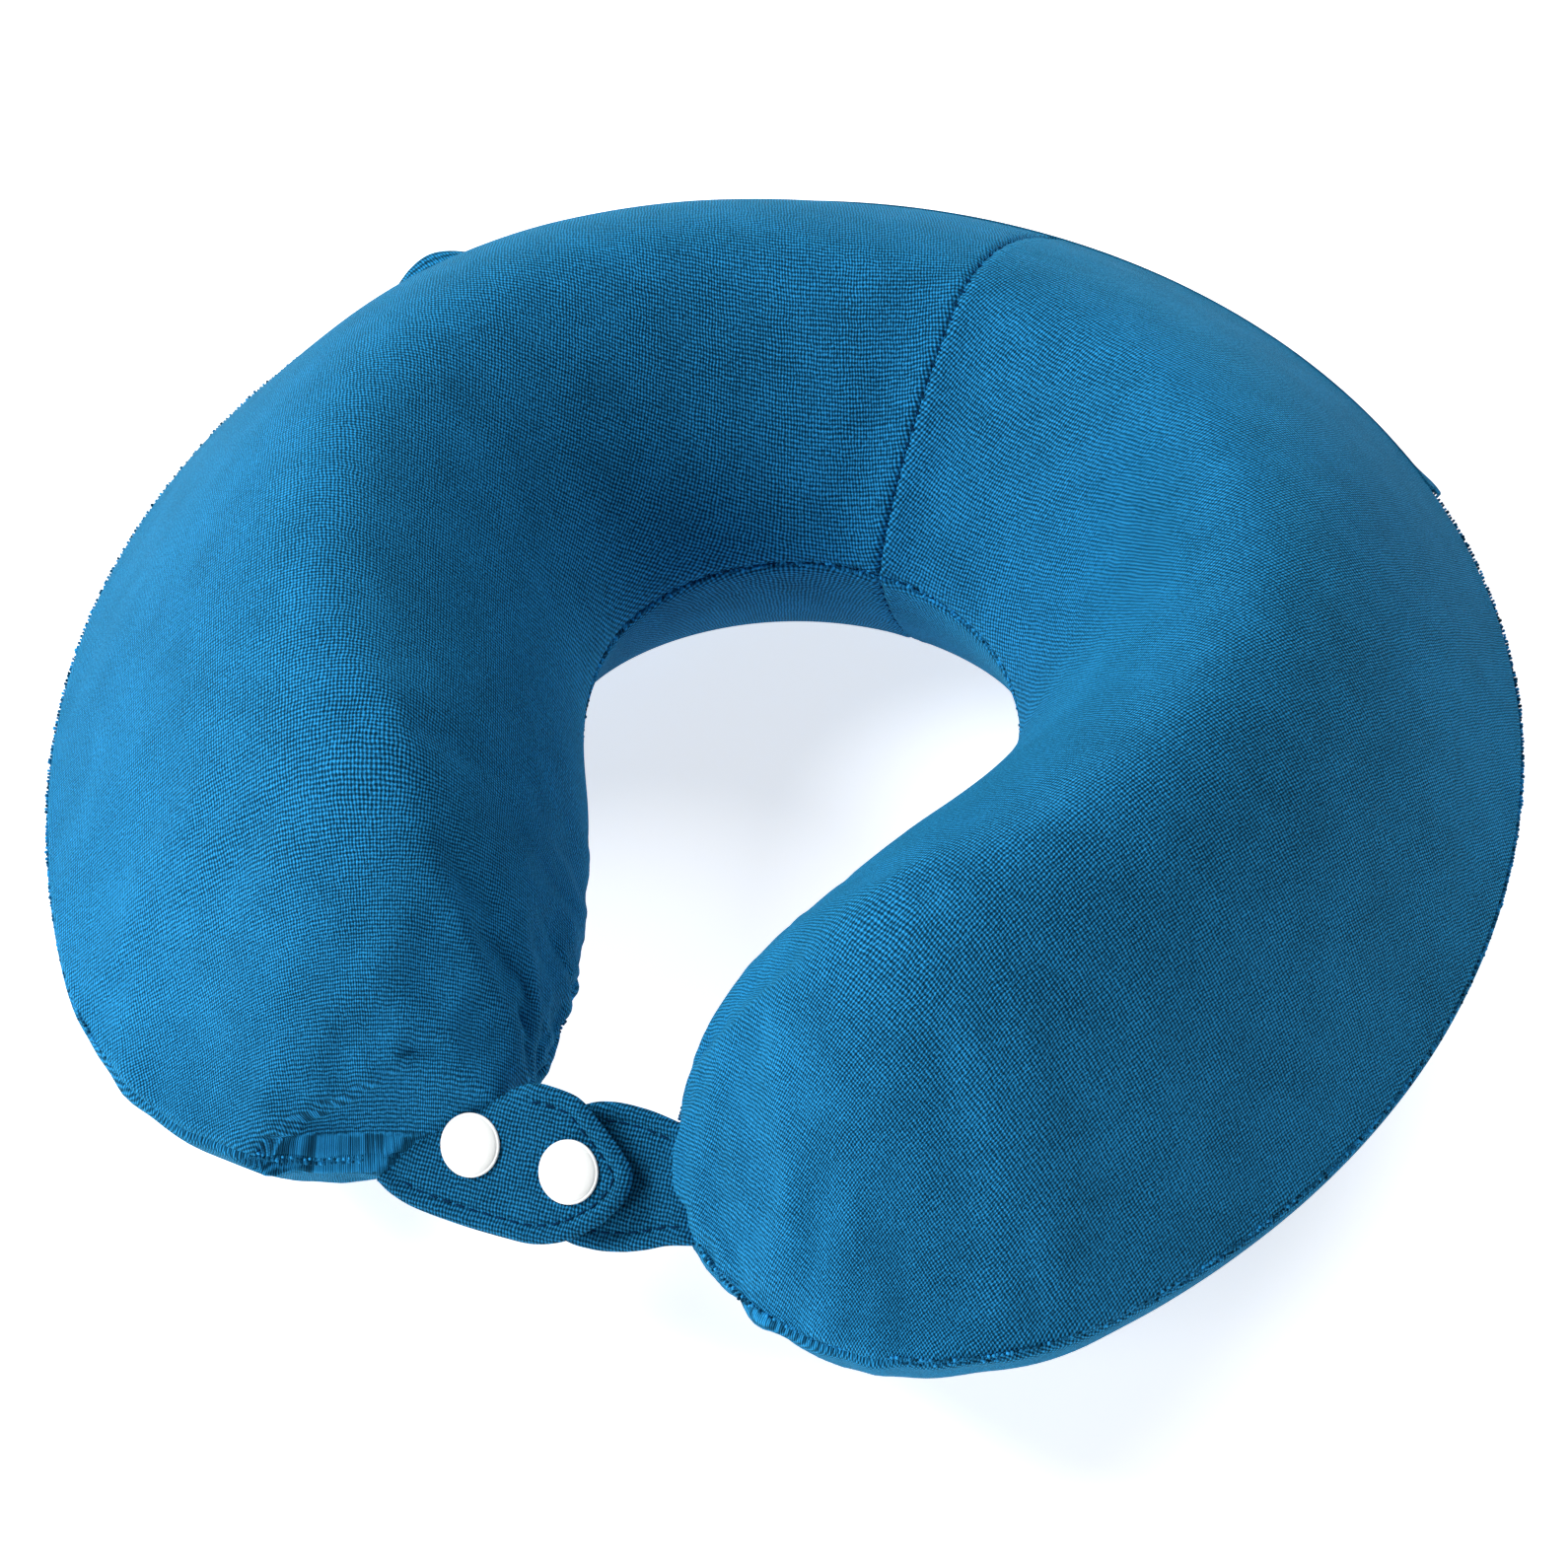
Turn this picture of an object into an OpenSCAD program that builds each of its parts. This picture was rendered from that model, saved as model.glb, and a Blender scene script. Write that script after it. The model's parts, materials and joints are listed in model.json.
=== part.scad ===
// U-shaped memory-foam neck pillow with a zipped knit cover and a snap-tab front closure.
// Frame: +Z up, +Y towards the back of the neck, the arms open towards -Y, X across.
// Origin: middle of the footprint, on the surface that the pillow lies on. Millimetres.

/* [Pillow outline] */
// Radius of the middle line round the back of the neck
back_radius = 88; // [80:1:96]
// Angle that the back bend covers on each side
back_angle = 80; // [72:1:86]
// Radius of the middle line along each arm
side_radius = 105; // [95:1:125]
// Length of the middle line along each arm
arm_length = 149; // [135:1:160]
// Middle line to the outer seam: back, shoulder, arm, tip
outer_half = [55.5, 55.5, 58, 67]; // [50:0.5:70]
// Middle line to the inner seam: back, shoulder, arm, tip
inner_half = [44.5, 43.5, 47.5, 40.5]; // [36:0.5:52]

/* [Pillow section] */
// Height of the crown above the seam: back, shoulder, arm, tip
crown = [40, 60, 70, 70]; // [30:1:80]
// Depth that the underside would have if it were not flattened
belly = 57; // [56.5:0.5:62]
// Height of the seam above the flat underside
rest_depth = 50; // [44:1:51]
// Length over which the outer side of an arm rounds off
round_outer = 55; // [45:1:65]
// Length over which the inner side of an arm rounds off
round_inner = 79; // [65:1:90]
// Thickness of the knit cover
fabric = 1.0; // [0.8:0.1:1.6]
// Air between the cover and the foam
foam_gap = 0.3; // [0.2:0.1:0.6]

/* [Zip] */
// Angle from the back centre to the zip's closed end, on the left
zip_left = 57.5; // [45:0.5:59]
// Angle from the back centre to the zip's open end, on the right
zip_right = 41.5; // [30:0.5:55]
// Distance of the zip below the edge seam
zip_drop = 5.5; // [4.5:0.5:7]
// Length of the zip slider
slider_length = 8.4; // [7:0.1:10]
// Length of the pull beyond its pivot
pull_length = 14; // [10:1:20]

/* [Snap tabs] */
// Where the fastened snap sits, measured from the centre of the back bend and the seam plane
snap_at = [2.5, -120.5, 4.5]; // [-125:0.5:8]
// Forward tip of the tabs
tab_tilt = 44; // [38:1:50]
// Turn of the tabs about the vertical
tab_turn = -11; // [-14:1:-8]
// Slope of the tabs along their length
tab_roll = 12; // [8:1:14]
// Width of a tab
tab_width = 29; // [28:0.5:30]
// Thickness of one layer of tab fabric
tab_fabric = 1.0; // [0.8:0.1:1.2]
// Distance from the point of a tab to its nearest snap
tip_to_snap = 13; // [12:0.5:15]
// Distance between the two snaps of the left tab
snap_spacing = 21; // [20:1:22]
// Diameter of a snap's domed cap
cap_d = 12.4; // [10.7:0.1:14]
// Diameter of a snap's socket and stud
snap_d = 10.4; // [9:0.1:11]

/* [Hidden] */

blue = [0.03, 0.36, 0.62];
deep_blue = [0.02, 0.26, 0.46];
black = [0.04, 0.04, 0.045];
white = [0.95, 0.95, 0.93];
foam_cream = [0.93, 0.90, 0.80];
round_fn = 48;

// Mesh density of the padded surfaces: rows along an arm, points across a panel
rows = 26;
across = 10;
// The rows crowd towards the tip, and the last one leaves a small flat end
row_crowding = 1.8;
end_flat = 0.0004;
// Relative places of the back, shoulder, arm and tip stations
stations = [0, 0.4, 0.7, 1];
// Exponents of the lens-shaped section: [across, up] on the outer, inner and under sides
outer_curve = [1.7, 0.9];
inner_curve = [1.4, 1.63];
under_curve = [1.8, 1.24];
// Exponents of the rounded arm ends, and of how fast the height drops there
outer_end = 1.9;
inner_end = 2.4;
end_drop = 1.4;

deg = 180 / PI;
back_length = back_radius * back_angle / deg;
total_length = back_length + arm_length;

// ---- Smooth change of a size from the back (q = 0) to the tip (q = 1) ----
function rise(v, i) = (v[i + 1] - v[i]) / (stations[i + 1] - stations[i]);
function slope(v, i) =
    i == 0 ? 0
    : i == len(v) - 1 ? rise(v, i - 1)
    : rise(v, i - 1) * rise(v, i) <= 0 ? 0
    : 2 * rise(v, i - 1) * rise(v, i) / (rise(v, i - 1) + rise(v, i));
function along(v, q) =
    let (
        i = q < stations[1] ? 0 : q < stations[2] ? 1 : 2,
        w = stations[i + 1] - stations[i],
        t = (q - stations[i]) / w
    )
    v[i] * (1 + 2 * t) * pow(1 - t, 2) + v[i + 1] * t * t * (3 - 2 * t)
    + slope(v, i) * w * t * pow(1 - t, 2) - slope(v, i + 1) * w * t * t * (1 - t);

// ---- Middle line of the right half, from the back centre to the tip of the arm ----
function heading(s) =
    s <= back_length ? s / back_radius * deg : back_angle + (s - back_length) / side_radius * deg;
function outward(s) = [sin(heading(s)), cos(heading(s))];
function middle(s) =
    s <= back_length ? back_radius * outward(s)
    : (back_radius - side_radius) * outward(back_length) + side_radius * outward(s);

// Distance of row i along the middle line, and how far an arm's side has rounded off there
function row_at(i) = total_length * (1 - end_flat - (1 - end_flat) * pow(1 - i / rows, row_crowding));
function rounding(s, length, power) =
    let (d = max(0, 1 - (total_length - s) / length)) pow(1 - pow(d, power), 1 / power);
function lens(x, curve) = pow(max(0, 1 - pow(abs(x), curve[0])), 1 / curve[1]);

// One point of the pad: row i, place x from the outer seam (1) to the inner seam (-1), and
// how far the surface is set in from the outside of the cover. up is true for the top side.
function pad_point(i, x, up, inset) =
    let (
        s = row_at(i),
        q = s / total_length,
        s_in = s * (total_length - inset) / total_length,
        ko = rounding(s, round_outer, outer_end),
        ki = rounding(s, round_inner, inner_end),
        kh = pow(ko * ki, end_drop / 2),
        half = x > 0 ? (along(outer_half, q) - inset) * ko : (along(inner_half, q) - inset) * ki,
        top = (along(crown, q) - inset) * kh * lens(x, x > 0 ? outer_curve : inner_curve),
        under = min((belly - inset) * kh * lens(x, under_curve), rest_depth - inset),
        p = middle(s_in) + outward(s_in) * half * x
    )
    [p.x, p.y, up ? top : -under];

// Points across a panel, from the outer seam to the inner seam
function cross(j) = cos(180 * j / across);

function side_points(left, i, up, inset) = [
    for (j = [0 : across])
        let (p = pad_point(i, cross(j), up, inset)) [left ? -p.x : p.x, p.y, p.z]
];

// A closed fabric panel: half of the top or of the underside, one fabric thickness deep
module panel(left, up) {
    w = across + 1;
    outer = [for (i = [0 : rows]) each side_points(left, i, up, 0)];
    inner = [for (i = [0 : rows]) each side_points(left, i, up, fabric)];
    n = len(outer);
    end = rows * w;
    skin = [
        for (i = [0 : rows - 1], j = [0 : across - 1])
            let (a = i * w + j)
            each [[a, a + 1, a + w + 1], [a, a + w + 1, a + w]]
    ];
    end_cap = [for (j = [1 : across - 1]) [end, end + j, end + j + 1]];
    rim = [
        for (j = [0 : across - 1]) [j + 1, j, n + j, n + j + 1],
        for (i = [0 : rows - 1]) let (a = i * w) [a, a + w, n + a + w, n + a],
        for (i = [0 : rows - 1]) let (a = i * w + across) [a + w, a, n + a, n + a + w],
        [end, end + across, n + end + across, n + end]
    ];
    faces = concat(skin, end_cap, [for (f = concat(skin, end_cap)) [n + f[2], n + f[1], n + f[0]]], rim);
    flip = left == up;
    placed() polyhedron(
        points = concat(outer, inner),
        faces = flip ? faces : [for (f = faces) [for (k = [len(f) - 1 : -1 : 0]) f[k]]]
    );
}

// The whole foam body as one closed tube of sections, from the left tip to the right tip
module foam_core() {
    inset = fabric + foam_gap;
    ring = 2 * across;
    sections = [for (k = [-rows : rows]) concat(
        [for (j = [0 : across]) let (p = pad_point(abs(k), cross(j), true, inset))
            [k < 0 ? -p.x : p.x, p.y, p.z]],
        [for (j = [across - 1 : -1 : 1]) let (p = pad_point(abs(k), cross(j), false, inset))
            [k < 0 ? -p.x : p.x, p.y, p.z]]
    )];
    last = 2 * rows * ring;
    // Each four-sided patch is split along the same diagonal as the cover panel over it
    sides = [
        for (i = [0 : 2 * rows - 1], j = [0 : ring - 1])
            let (a = i * ring + j, b = i * ring + (j + 1) % ring, left = i < rows, top = j < across)
            each left == top ? [[a, a + ring, b], [a + ring, b + ring, b]]
                : [[a, a + ring, b + ring], [a, b + ring, b]]
    ];
    ends = concat(
        [for (j = [1 : ring - 2]) [0, j, j + 1]],
        [for (j = [1 : ring - 2]) [last, last + j + 1, last + j]]
    );
    color(foam_cream)
        placed() polyhedron(points = [for (s = sections) each s], faces = concat(sides, ends));
}

module cover_top_left() { color(blue) panel(true, true); }
module cover_top_right() { color(blue) panel(false, true); }
module cover_bottom_left() { color(deep_blue) panel(true, false); }
module cover_bottom_right() { color(deep_blue) panel(false, false); }

// ---- Zip: drawn in a section whose x leaves the cover and whose y climbs to the seam ----
seam_radius = back_radius + outer_half[0];
// Overlap that makes one solid of two shapes, and how far a cutter runs past a face
weld = 0.1;
past = 1;
// Tapes: clearance from the cover, thickness, and reach above and below the zip line
tape_start = 0.3;
tape_thick = 0.55;
tape_height = 4.6;
// Coils: from coil_in to coil_out outside the cover, with bevelled edges
coil_in = 0.9;
coil_out = 2.2;
coil_height = 2;
coil_gap = 0.12;
coil_bevel = 0.4;
// Plackets: clearance from the tape, the sewn band, and the lip that stands beside the slider
placket_gap = 0.05;
placket_band = 1.5;
placket_foot = 1.8;
upper_lip = 3.2;
lower_lip = 2.6;
lip_height = 0.9;
lip_fall = 1.6;
slot_half = 3.4;
// Slider: plate, rails, ears and the pin that holds the pull
slider_half = 3;
plate_in = 2.5;
plate_out = 3.3;
rail_in = 1.2;
rail_thick = 0.6;
rail_share = 2 / 3;
pivot_out = 4.75;
pivot_r = 0.6;
pivot_bore_r = 0.68;
pivot_cover = 0.2;
knuckle_r = 1.15;
ear_thick = 0.8;
ear_reach = 1;
// Pull tab, stops, and the play between the slider and each end
pull_thick = 1;
pull_half = 2;
stop_length = 2.5;
end_play = 0.4;
tape_spare = 2;

// The zip follows the underside panel: how far the panel has curved in there, and its lean
zip_in = outer_half[0] / under_curve[0] * pow(zip_drop / belly, under_curve[1]);
zip_slope = outer_half[0] / belly * under_curve[1] / under_curve[0] * pow(zip_drop / belly, under_curve[1] - 1);
zip_lean = atan(zip_slope);

function zip_to_pad(p) = [
    -zip_in + p.x * cos(zip_lean) + p.y * sin(zip_lean),
    -zip_drop - p.x * sin(zip_lean) + p.y * cos(zip_lean)
];
function arc_angle(length) = length / seam_radius * deg;
placket_in = tape_start + tape_thick + placket_gap;
// The fabric lip beside the zip: side is 1 above the zip and -1 below it
function placket_outline(side) = [
    [placket_in, side * slot_half],
    [side > 0 ? upper_lip : lower_lip, side * slot_half],
    [side > 0 ? upper_lip : lower_lip, side * (slot_half + lip_height)],
    [placket_foot, side * (slot_half + lip_fall)],
    [placket_band, side * (tape_height + 1)],
    [placket_in, side * (tape_height + 1)]
];

// ---- Shift from the pad's own centre to the part's origin ----
front_y = min([for (i = [0 : rows]) pad_point(i, 1, true, 0).y]);
back_y = back_radius + outer_half[0] + max([for (p = placket_outline(1)) zip_to_pad(p).x]);
shift = [0, -(front_y + back_y) / 2, rest_depth];

module placed() {
    translate(shift) children();
}

rest_angle = zip_left + arc_angle(slider_length / 2 + end_play);
closed_stop = rest_angle + arc_angle(slider_length / 2 + end_play);

// Sweeps a zip section from an angle left of the back centre to an angle right of it
module zip_sweep(outline, left, right) {
    placed() rotate([0, 0, 90 - right]) rotate_extrude(angle = left + right, $fn = 180)
        translate([seam_radius, 0]) polygon([for (p = outline) zip_to_pad(p)]);
}

// Places children on the zip line at an angle left of the back centre: x out, y along, z up
module on_zip(left) {
    placed() rotate([0, 0, 90 + left]) translate([seam_radius - zip_in, 0, -zip_drop])
        rotate([0, zip_lean, 0]) children();
}

function block_outline(x0, x1, y0, y1) = [[x0, y0], [x1, y0], [x1, y1], [x0, y1]];

module zip_tape(side) {
    color(black) zip_sweep(
        block_outline(tape_start, tape_start + tape_thick, side * coil_gap / 2, side * tape_height),
        closed_stop + arc_angle(stop_length + tape_spare), zip_right + arc_angle(stop_length + tape_spare)
    );
}
module zip_tape_upper() { zip_tape(1); }
module zip_tape_lower() { zip_tape(-1); }

module zip_coil(side) {
    color(black) zip_sweep(
        [
            [coil_in, side * coil_gap / 2], [coil_out - coil_bevel, side * coil_gap / 2],
            [coil_out, side * (coil_gap / 2 + coil_bevel)], [coil_out, side * (coil_height - coil_bevel)],
            [coil_out - coil_bevel, side * coil_height], [coil_in, side * coil_height]
        ],
        zip_left - arc_angle(1), zip_right
    );
}
module zip_coil_upper() { zip_coil(1); }
module zip_coil_lower() { zip_coil(-1); }

module zip_placket(side) {
    zip_sweep(placket_outline(side), zip_left, zip_right + arc_angle(stop_length / 2));
}
module zip_placket_upper() { color(blue) zip_placket(1); }
module zip_placket_lower() { color(deep_blue) zip_placket(-1); }

// Two small clamps, one on each tape, that the closed slider rests against
module zip_top_stops() {
    color(black) for (side = [-1, 1])
        zip_sweep(
            block_outline(coil_in, coil_out, side * coil_gap, side * coil_height),
            closed_stop + arc_angle(stop_length), -closed_stop
        );
}

// One clamp across both tapes at the open end
module zip_bottom_stop() {
    color(black) zip_sweep(
        block_outline(coil_in, coil_out, -coil_height, coil_height),
        -zip_right - arc_angle(coil_gap), zip_right + arc_angle(stop_length)
    );
}

// Slider: outer plate, two rails beside the coils, and two ears that hold the pull's pivot pin
module zip_slider_body() {
    rail_length = slider_length * rail_share;
    color(black) on_zip(rest_angle) union() {
        intersection() {
            translate([plate_in, -slider_length / 2, -slider_half])
                cube([plate_out - plate_in, slider_length, 2 * slider_half]);
            rotate([0, 90, 0]) cylinder(h = plate_out + past, r = slider_length / 2 + weld, $fn = round_fn);
        }
        for (side = [-1, 1])
            translate([rail_in, -rail_length / 2, side > 0 ? slider_half - rail_thick : -slider_half])
                cube([plate_in - rail_in + weld, rail_length, rail_thick]);
        for (side = [-1, 1])
            translate([plate_out - weld, -ear_reach, side > 0 ? slider_half - ear_thick : -slider_half])
                cube([pivot_out + pivot_r + pivot_cover - plate_out, 2 * ear_reach, ear_thick]);
        translate([pivot_out, 0, -slider_half + weld])
            cylinder(h = 2 * (slider_half - weld), r = pivot_r, $fn = round_fn);
    }
}

// Pull: a knuckle round the pin and a flat tab that lies along the zip
module zip_pull_tab() {
    color(black) on_zip(rest_angle) difference() {
        union() {
            translate([pivot_out, 0, -pull_half]) cylinder(h = 2 * pull_half, r = knuckle_r, $fn = round_fn);
            translate([pivot_out - pull_thick / 2, -pull_length + pull_half, -pull_half])
                cube([pull_thick, pull_length - pull_half, 2 * pull_half]);
            translate([pivot_out - pull_thick / 2, -pull_length + pull_half, 0]) rotate([0, 90, 0])
                cylinder(h = pull_thick, r = pull_half, $fn = round_fn);
        }
        translate([pivot_out, 0, -pull_half - past])
            cylinder(h = 2 * (pull_half + past), r = pivot_bore_r, $fn = round_fn);
    }
}

// ---- Snap tabs: drawn flat, x along the left tab to its point, z out of its face ----
// Post of a cap, and the hole that it passes through in the fabric
post_r = 1;
post_hole_r = 1.2;
cap_h = 1.6;
cap_rim = 0.5;
socket_h = 2.45;
socket_mouth_r = 2.65;
socket_roof = 0.85;
// Stud: base disc, and a button that tapers over its upper half
stud_base_h = 1.1;
stud_r = 2.25;
stud_h = 1.75;
stud_taper = 0.3;
stud_grip = 0.6;
// Air above the base of the stud, between a disc and the fabric, and round a post
snap_gap = 0.3;
lay_gap = 0.05;
seat_gap = 0.03;
socket_bottom = -tab_fabric - lay_gap - socket_h;
stud_top = socket_bottom - snap_gap;
right_top = stud_top - stud_base_h - lay_gap;
right_bottom = right_top - 2 * tab_fabric;
// Slanted roots, along the arm ends: upper corner, middle, lower corner, and where the lower edge starts
left_root = [[-22, 14.5], [-26.6, 1], [-37, -12.5], [-30, -14.5]];
right_root = [[16.8, 14.5], [19.4, 1], [27.3, -13], [21, -14.5]];
// How far behind the point the edges turn straight
shoulder = 16.5;

module on_tabs() {
    placed() translate(snap_at) rotate([0, 0, tab_turn]) rotate([tab_tilt, 0, 0])
        rotate([0, 0, tab_roll]) children();
}

// Outline of a tab: slanted root, straight edges, and a point towards side
function tab_outline(side, root) = concat(root, [
    [side * (tip_to_snap - shoulder), -tab_width / 2],
    [side * tip_to_snap, 0],
    [side * (tip_to_snap - shoulder), tab_width / 2]
]);

module tab_layer(side, root, bottom, holes) {
    on_tabs() difference() {
        translate([0, 0, bottom]) linear_extrude(height = tab_fabric)
            polygon(tab_outline(side, root));
        for (x = holes) translate([x, 0, bottom - past])
            cylinder(h = tab_fabric + 2 * past, r = post_hole_r, $fn = round_fn);
    }
}

module left_tab_face() { color(blue) tab_layer(1, left_root, 0, [0, -snap_spacing]); }
module left_tab_lining() { color(deep_blue) tab_layer(1, left_root, -tab_fabric, [0, -snap_spacing]); }
module right_tab_lining() { color(blue) tab_layer(-1, right_root, right_top - tab_fabric, [0]); }
module right_tab_face() { color(deep_blue) tab_layer(-1, right_root, right_bottom, [0]); }

// Domed cap with its post, resting on z = 0
module cap(post_length) {
    dome_r = (pow(cap_d / 2, 2) + pow(cap_h - cap_rim, 2)) / (2 * (cap_h - cap_rim));
    intersection() {
        cylinder(h = cap_h, r = cap_d / 2, $fn = round_fn);
        translate([0, 0, cap_h - dome_r]) sphere(r = dome_r, $fn = 2 * round_fn);
    }
    translate([0, 0, -post_length]) cylinder(h = post_length + weld, r = post_r, $fn = round_fn);
}

module left_cap(x) {
    color(white) on_tabs() translate([x, 0, tab_fabric + lay_gap])
        cap(2 * (tab_fabric + lay_gap) + socket_roof);
}
module snap_cap_near_tip() { left_cap(0); }
module snap_cap_near_root() { left_cap(-snap_spacing); }

// Socket: a disc that grips the cap's post above and opens to the stud below
module socket(x) {
    color(white) on_tabs() translate([x, 0, socket_bottom]) difference() {
        cylinder(h = socket_h, r = snap_d / 2, $fn = round_fn);
        translate([0, 0, -past])
            cylinder(h = socket_h - socket_roof + past, r = socket_mouth_r, $fn = round_fn);
        cylinder(h = socket_h + past, r = post_r + seat_gap, $fn = round_fn);
    }
}
module snap_socket_near_tip() { socket(0); }
module snap_socket_near_root() { socket(-snap_spacing); }

// Stud: a disc with a slightly tapered button that fills the socket's mouth
module snap_stud() {
    color(white) on_tabs() translate([0, 0, stud_top]) difference() {
        union() {
            translate([0, 0, -stud_base_h]) cylinder(h = stud_base_h, r = snap_d / 2, $fn = round_fn);
            translate([0, 0, -weld]) cylinder(h = stud_h / 2 + weld, r = stud_r, $fn = round_fn);
            translate([0, 0, stud_h / 2])
                cylinder(h = stud_h / 2, r1 = stud_r, r2 = stud_r - stud_taper, $fn = round_fn);
        }
        translate([0, 0, -stud_base_h - past])
            cylinder(h = stud_base_h + past + stud_grip + weld, r = post_r + seat_gap, $fn = round_fn);
    }
}

// Cap under the right tab, whose post holds the stud
module snap_stud_cap() {
    color(white) on_tabs() translate([0, 0, right_bottom - lay_gap]) mirror([0, 0, 1])
        cap(2 * (tab_fabric + lay_gap) + stud_base_h + stud_grip);
}

foam_core();
cover_top_left();
cover_top_right();
cover_bottom_left();
cover_bottom_right();
zip_tape_upper();
zip_tape_lower();
zip_coil_upper();
zip_coil_lower();
zip_placket_upper();
zip_placket_lower();
zip_top_stops();
zip_bottom_stop();
zip_slider_body();
zip_pull_tab();
left_tab_face();
left_tab_lining();
snap_cap_near_tip();
snap_cap_near_root();
snap_socket_near_tip();
snap_socket_near_root();
right_tab_face();
right_tab_lining();
snap_stud();
snap_stud_cap();
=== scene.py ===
"""U-shaped neck pillow: knit cover over a foam core, zip at the back, two snap tabs at the front.

The padded surface, the zip line and the tab plane follow the same formulas as the CAD source, in
millimetres from the pad's own centre; to_frame() turns them into the row frame in metres.
"""

import itertools
import json
import math

import bmesh
import bpy
import numpy as np
from mathutils import Matrix, Vector


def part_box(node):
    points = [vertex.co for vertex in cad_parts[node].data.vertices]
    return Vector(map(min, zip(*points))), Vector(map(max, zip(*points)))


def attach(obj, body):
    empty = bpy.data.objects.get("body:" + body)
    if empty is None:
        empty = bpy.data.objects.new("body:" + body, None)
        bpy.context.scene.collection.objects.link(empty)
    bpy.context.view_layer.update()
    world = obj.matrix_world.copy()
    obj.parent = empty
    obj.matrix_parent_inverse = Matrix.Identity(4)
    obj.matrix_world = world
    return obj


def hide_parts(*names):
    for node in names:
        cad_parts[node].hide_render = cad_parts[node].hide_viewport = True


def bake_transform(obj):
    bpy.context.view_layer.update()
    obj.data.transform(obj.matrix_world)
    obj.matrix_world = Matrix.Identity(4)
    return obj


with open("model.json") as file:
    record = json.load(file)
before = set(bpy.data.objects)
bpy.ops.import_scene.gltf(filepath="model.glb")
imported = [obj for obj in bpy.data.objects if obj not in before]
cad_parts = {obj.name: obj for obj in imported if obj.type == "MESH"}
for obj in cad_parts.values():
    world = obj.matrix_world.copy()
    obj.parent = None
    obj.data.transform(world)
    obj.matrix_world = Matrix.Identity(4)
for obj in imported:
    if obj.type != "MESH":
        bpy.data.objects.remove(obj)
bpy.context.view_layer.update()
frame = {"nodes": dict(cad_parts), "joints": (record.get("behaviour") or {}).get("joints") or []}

MM = 0.001
MIRROR = np.array([-1, 1, 1])
JOINTS = {j["name"]: j for j in frame["joints"]}
# The pad's centre is on the zip joint's axis, and the edge seam lies in the lowest plane of the top cover
PAD_CENTRE = np.array([0.0, JOINTS["zip_run"]["pos_m"][1] / MM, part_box("cover_top_left")[0].z / MM])


def to_frame(points):
    """Pad coordinates in millimetres to the row frame in metres."""
    return (np.asarray(points, float) + PAD_CENTRE) * MM


# ---- the padded surface
# The middle line: a bend at the back, then an arm with a wider bend
BACK_RADIUS, BACK_ANGLE, SIDE_RADIUS, ARM_LENGTH = 88.0, math.radians(80), 105.0, 149.0
# Half widths outside and inside the middle line and height over it, at shares of the way to the tip
STATIONS = (0.0, 0.4, 0.7, 1.0)
OUTER_HALF = (55.5, 55.5, 58.0, 67.0)
INNER_HALF = (44.5, 43.5, 47.5, 40.5)
CROWN = (40.0, 60.0, 70.0, 70.0)
# Depth of the under side before it rests flat, and where it rests
BELLY, REST_DEPTH = 57.0, 50.0
# How the arm's end is rounded in plan and how full the section's curves are
ROUND_OUTER, ROUND_INNER = 55.0, 79.0
OUTER_CURVE, INNER_CURVE, UNDER_CURVE = (1.7, 0.9), (1.4, 1.63), (1.8, 1.24)
OUTER_END, INNER_END, END_DROP = 1.9, 2.4, 1.4
BACK_LENGTH = BACK_RADIUS * BACK_ANGLE
TOTAL = BACK_LENGTH + ARM_LENGTH
SEAM_RADIUS = BACK_RADIUS + OUTER_HALF[0]


def along(values, q):
    """A size that changes smoothly from the back (q 0) to the tip (q 1)."""
    rise = [(values[i + 1] - values[i]) / (STATIONS[i + 1] - STATIONS[i]) for i in range(3)]

    def slope(i):
        if i == 0:
            return 0.0
        if i == 3:
            return rise[2]
        a, b = rise[i - 1], rise[i]
        return 0.0 if a * b <= 0 else 2 * a * b / (a + b)

    q = np.asarray(q, float)
    out = np.zeros_like(q)
    for i in range(3):
        width = STATIONS[i + 1] - STATIONS[i]
        t = (q - STATIONS[i]) / width
        piece = (values[i] * (1 + 2 * t) * (1 - t) ** 2 + values[i + 1] * t * t * (3 - 2 * t)
                 + slope(i) * width * t * (1 - t) ** 2 - slope(i + 1) * width * t * t * (1 - t))
        out = np.where(q >= STATIONS[i], piece, out)
    return out


def outward(s):
    """Direction in plan from the middle line to the outer seam."""
    angle = np.where(s <= BACK_LENGTH, s / BACK_RADIUS, BACK_ANGLE + (s - BACK_LENGTH) / SIDE_RADIUS)
    return np.stack([np.sin(angle), np.cos(angle)], -1)


def middle(s):
    side_centre = (BACK_RADIUS - SIDE_RADIUS) * np.array([math.sin(BACK_ANGLE), math.cos(BACK_ANGLE)])
    out = outward(s)
    return np.where((s <= BACK_LENGTH)[..., None], BACK_RADIUS * out, side_centre + SIDE_RADIUS * out)


def rounding(s, length, power):
    """Share of the full width that is left near the tip."""
    d = np.clip(1 - (TOTAL - s) / length, 0, 1)
    return (1 - d ** power) ** (1 / power)


def lens(x, curve):
    """Height of a section's curve from 1 in the middle to 0 at the seam."""
    return np.clip(1 - np.abs(x) ** curve[0], 0, 1) ** (1 / curve[1])


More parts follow.
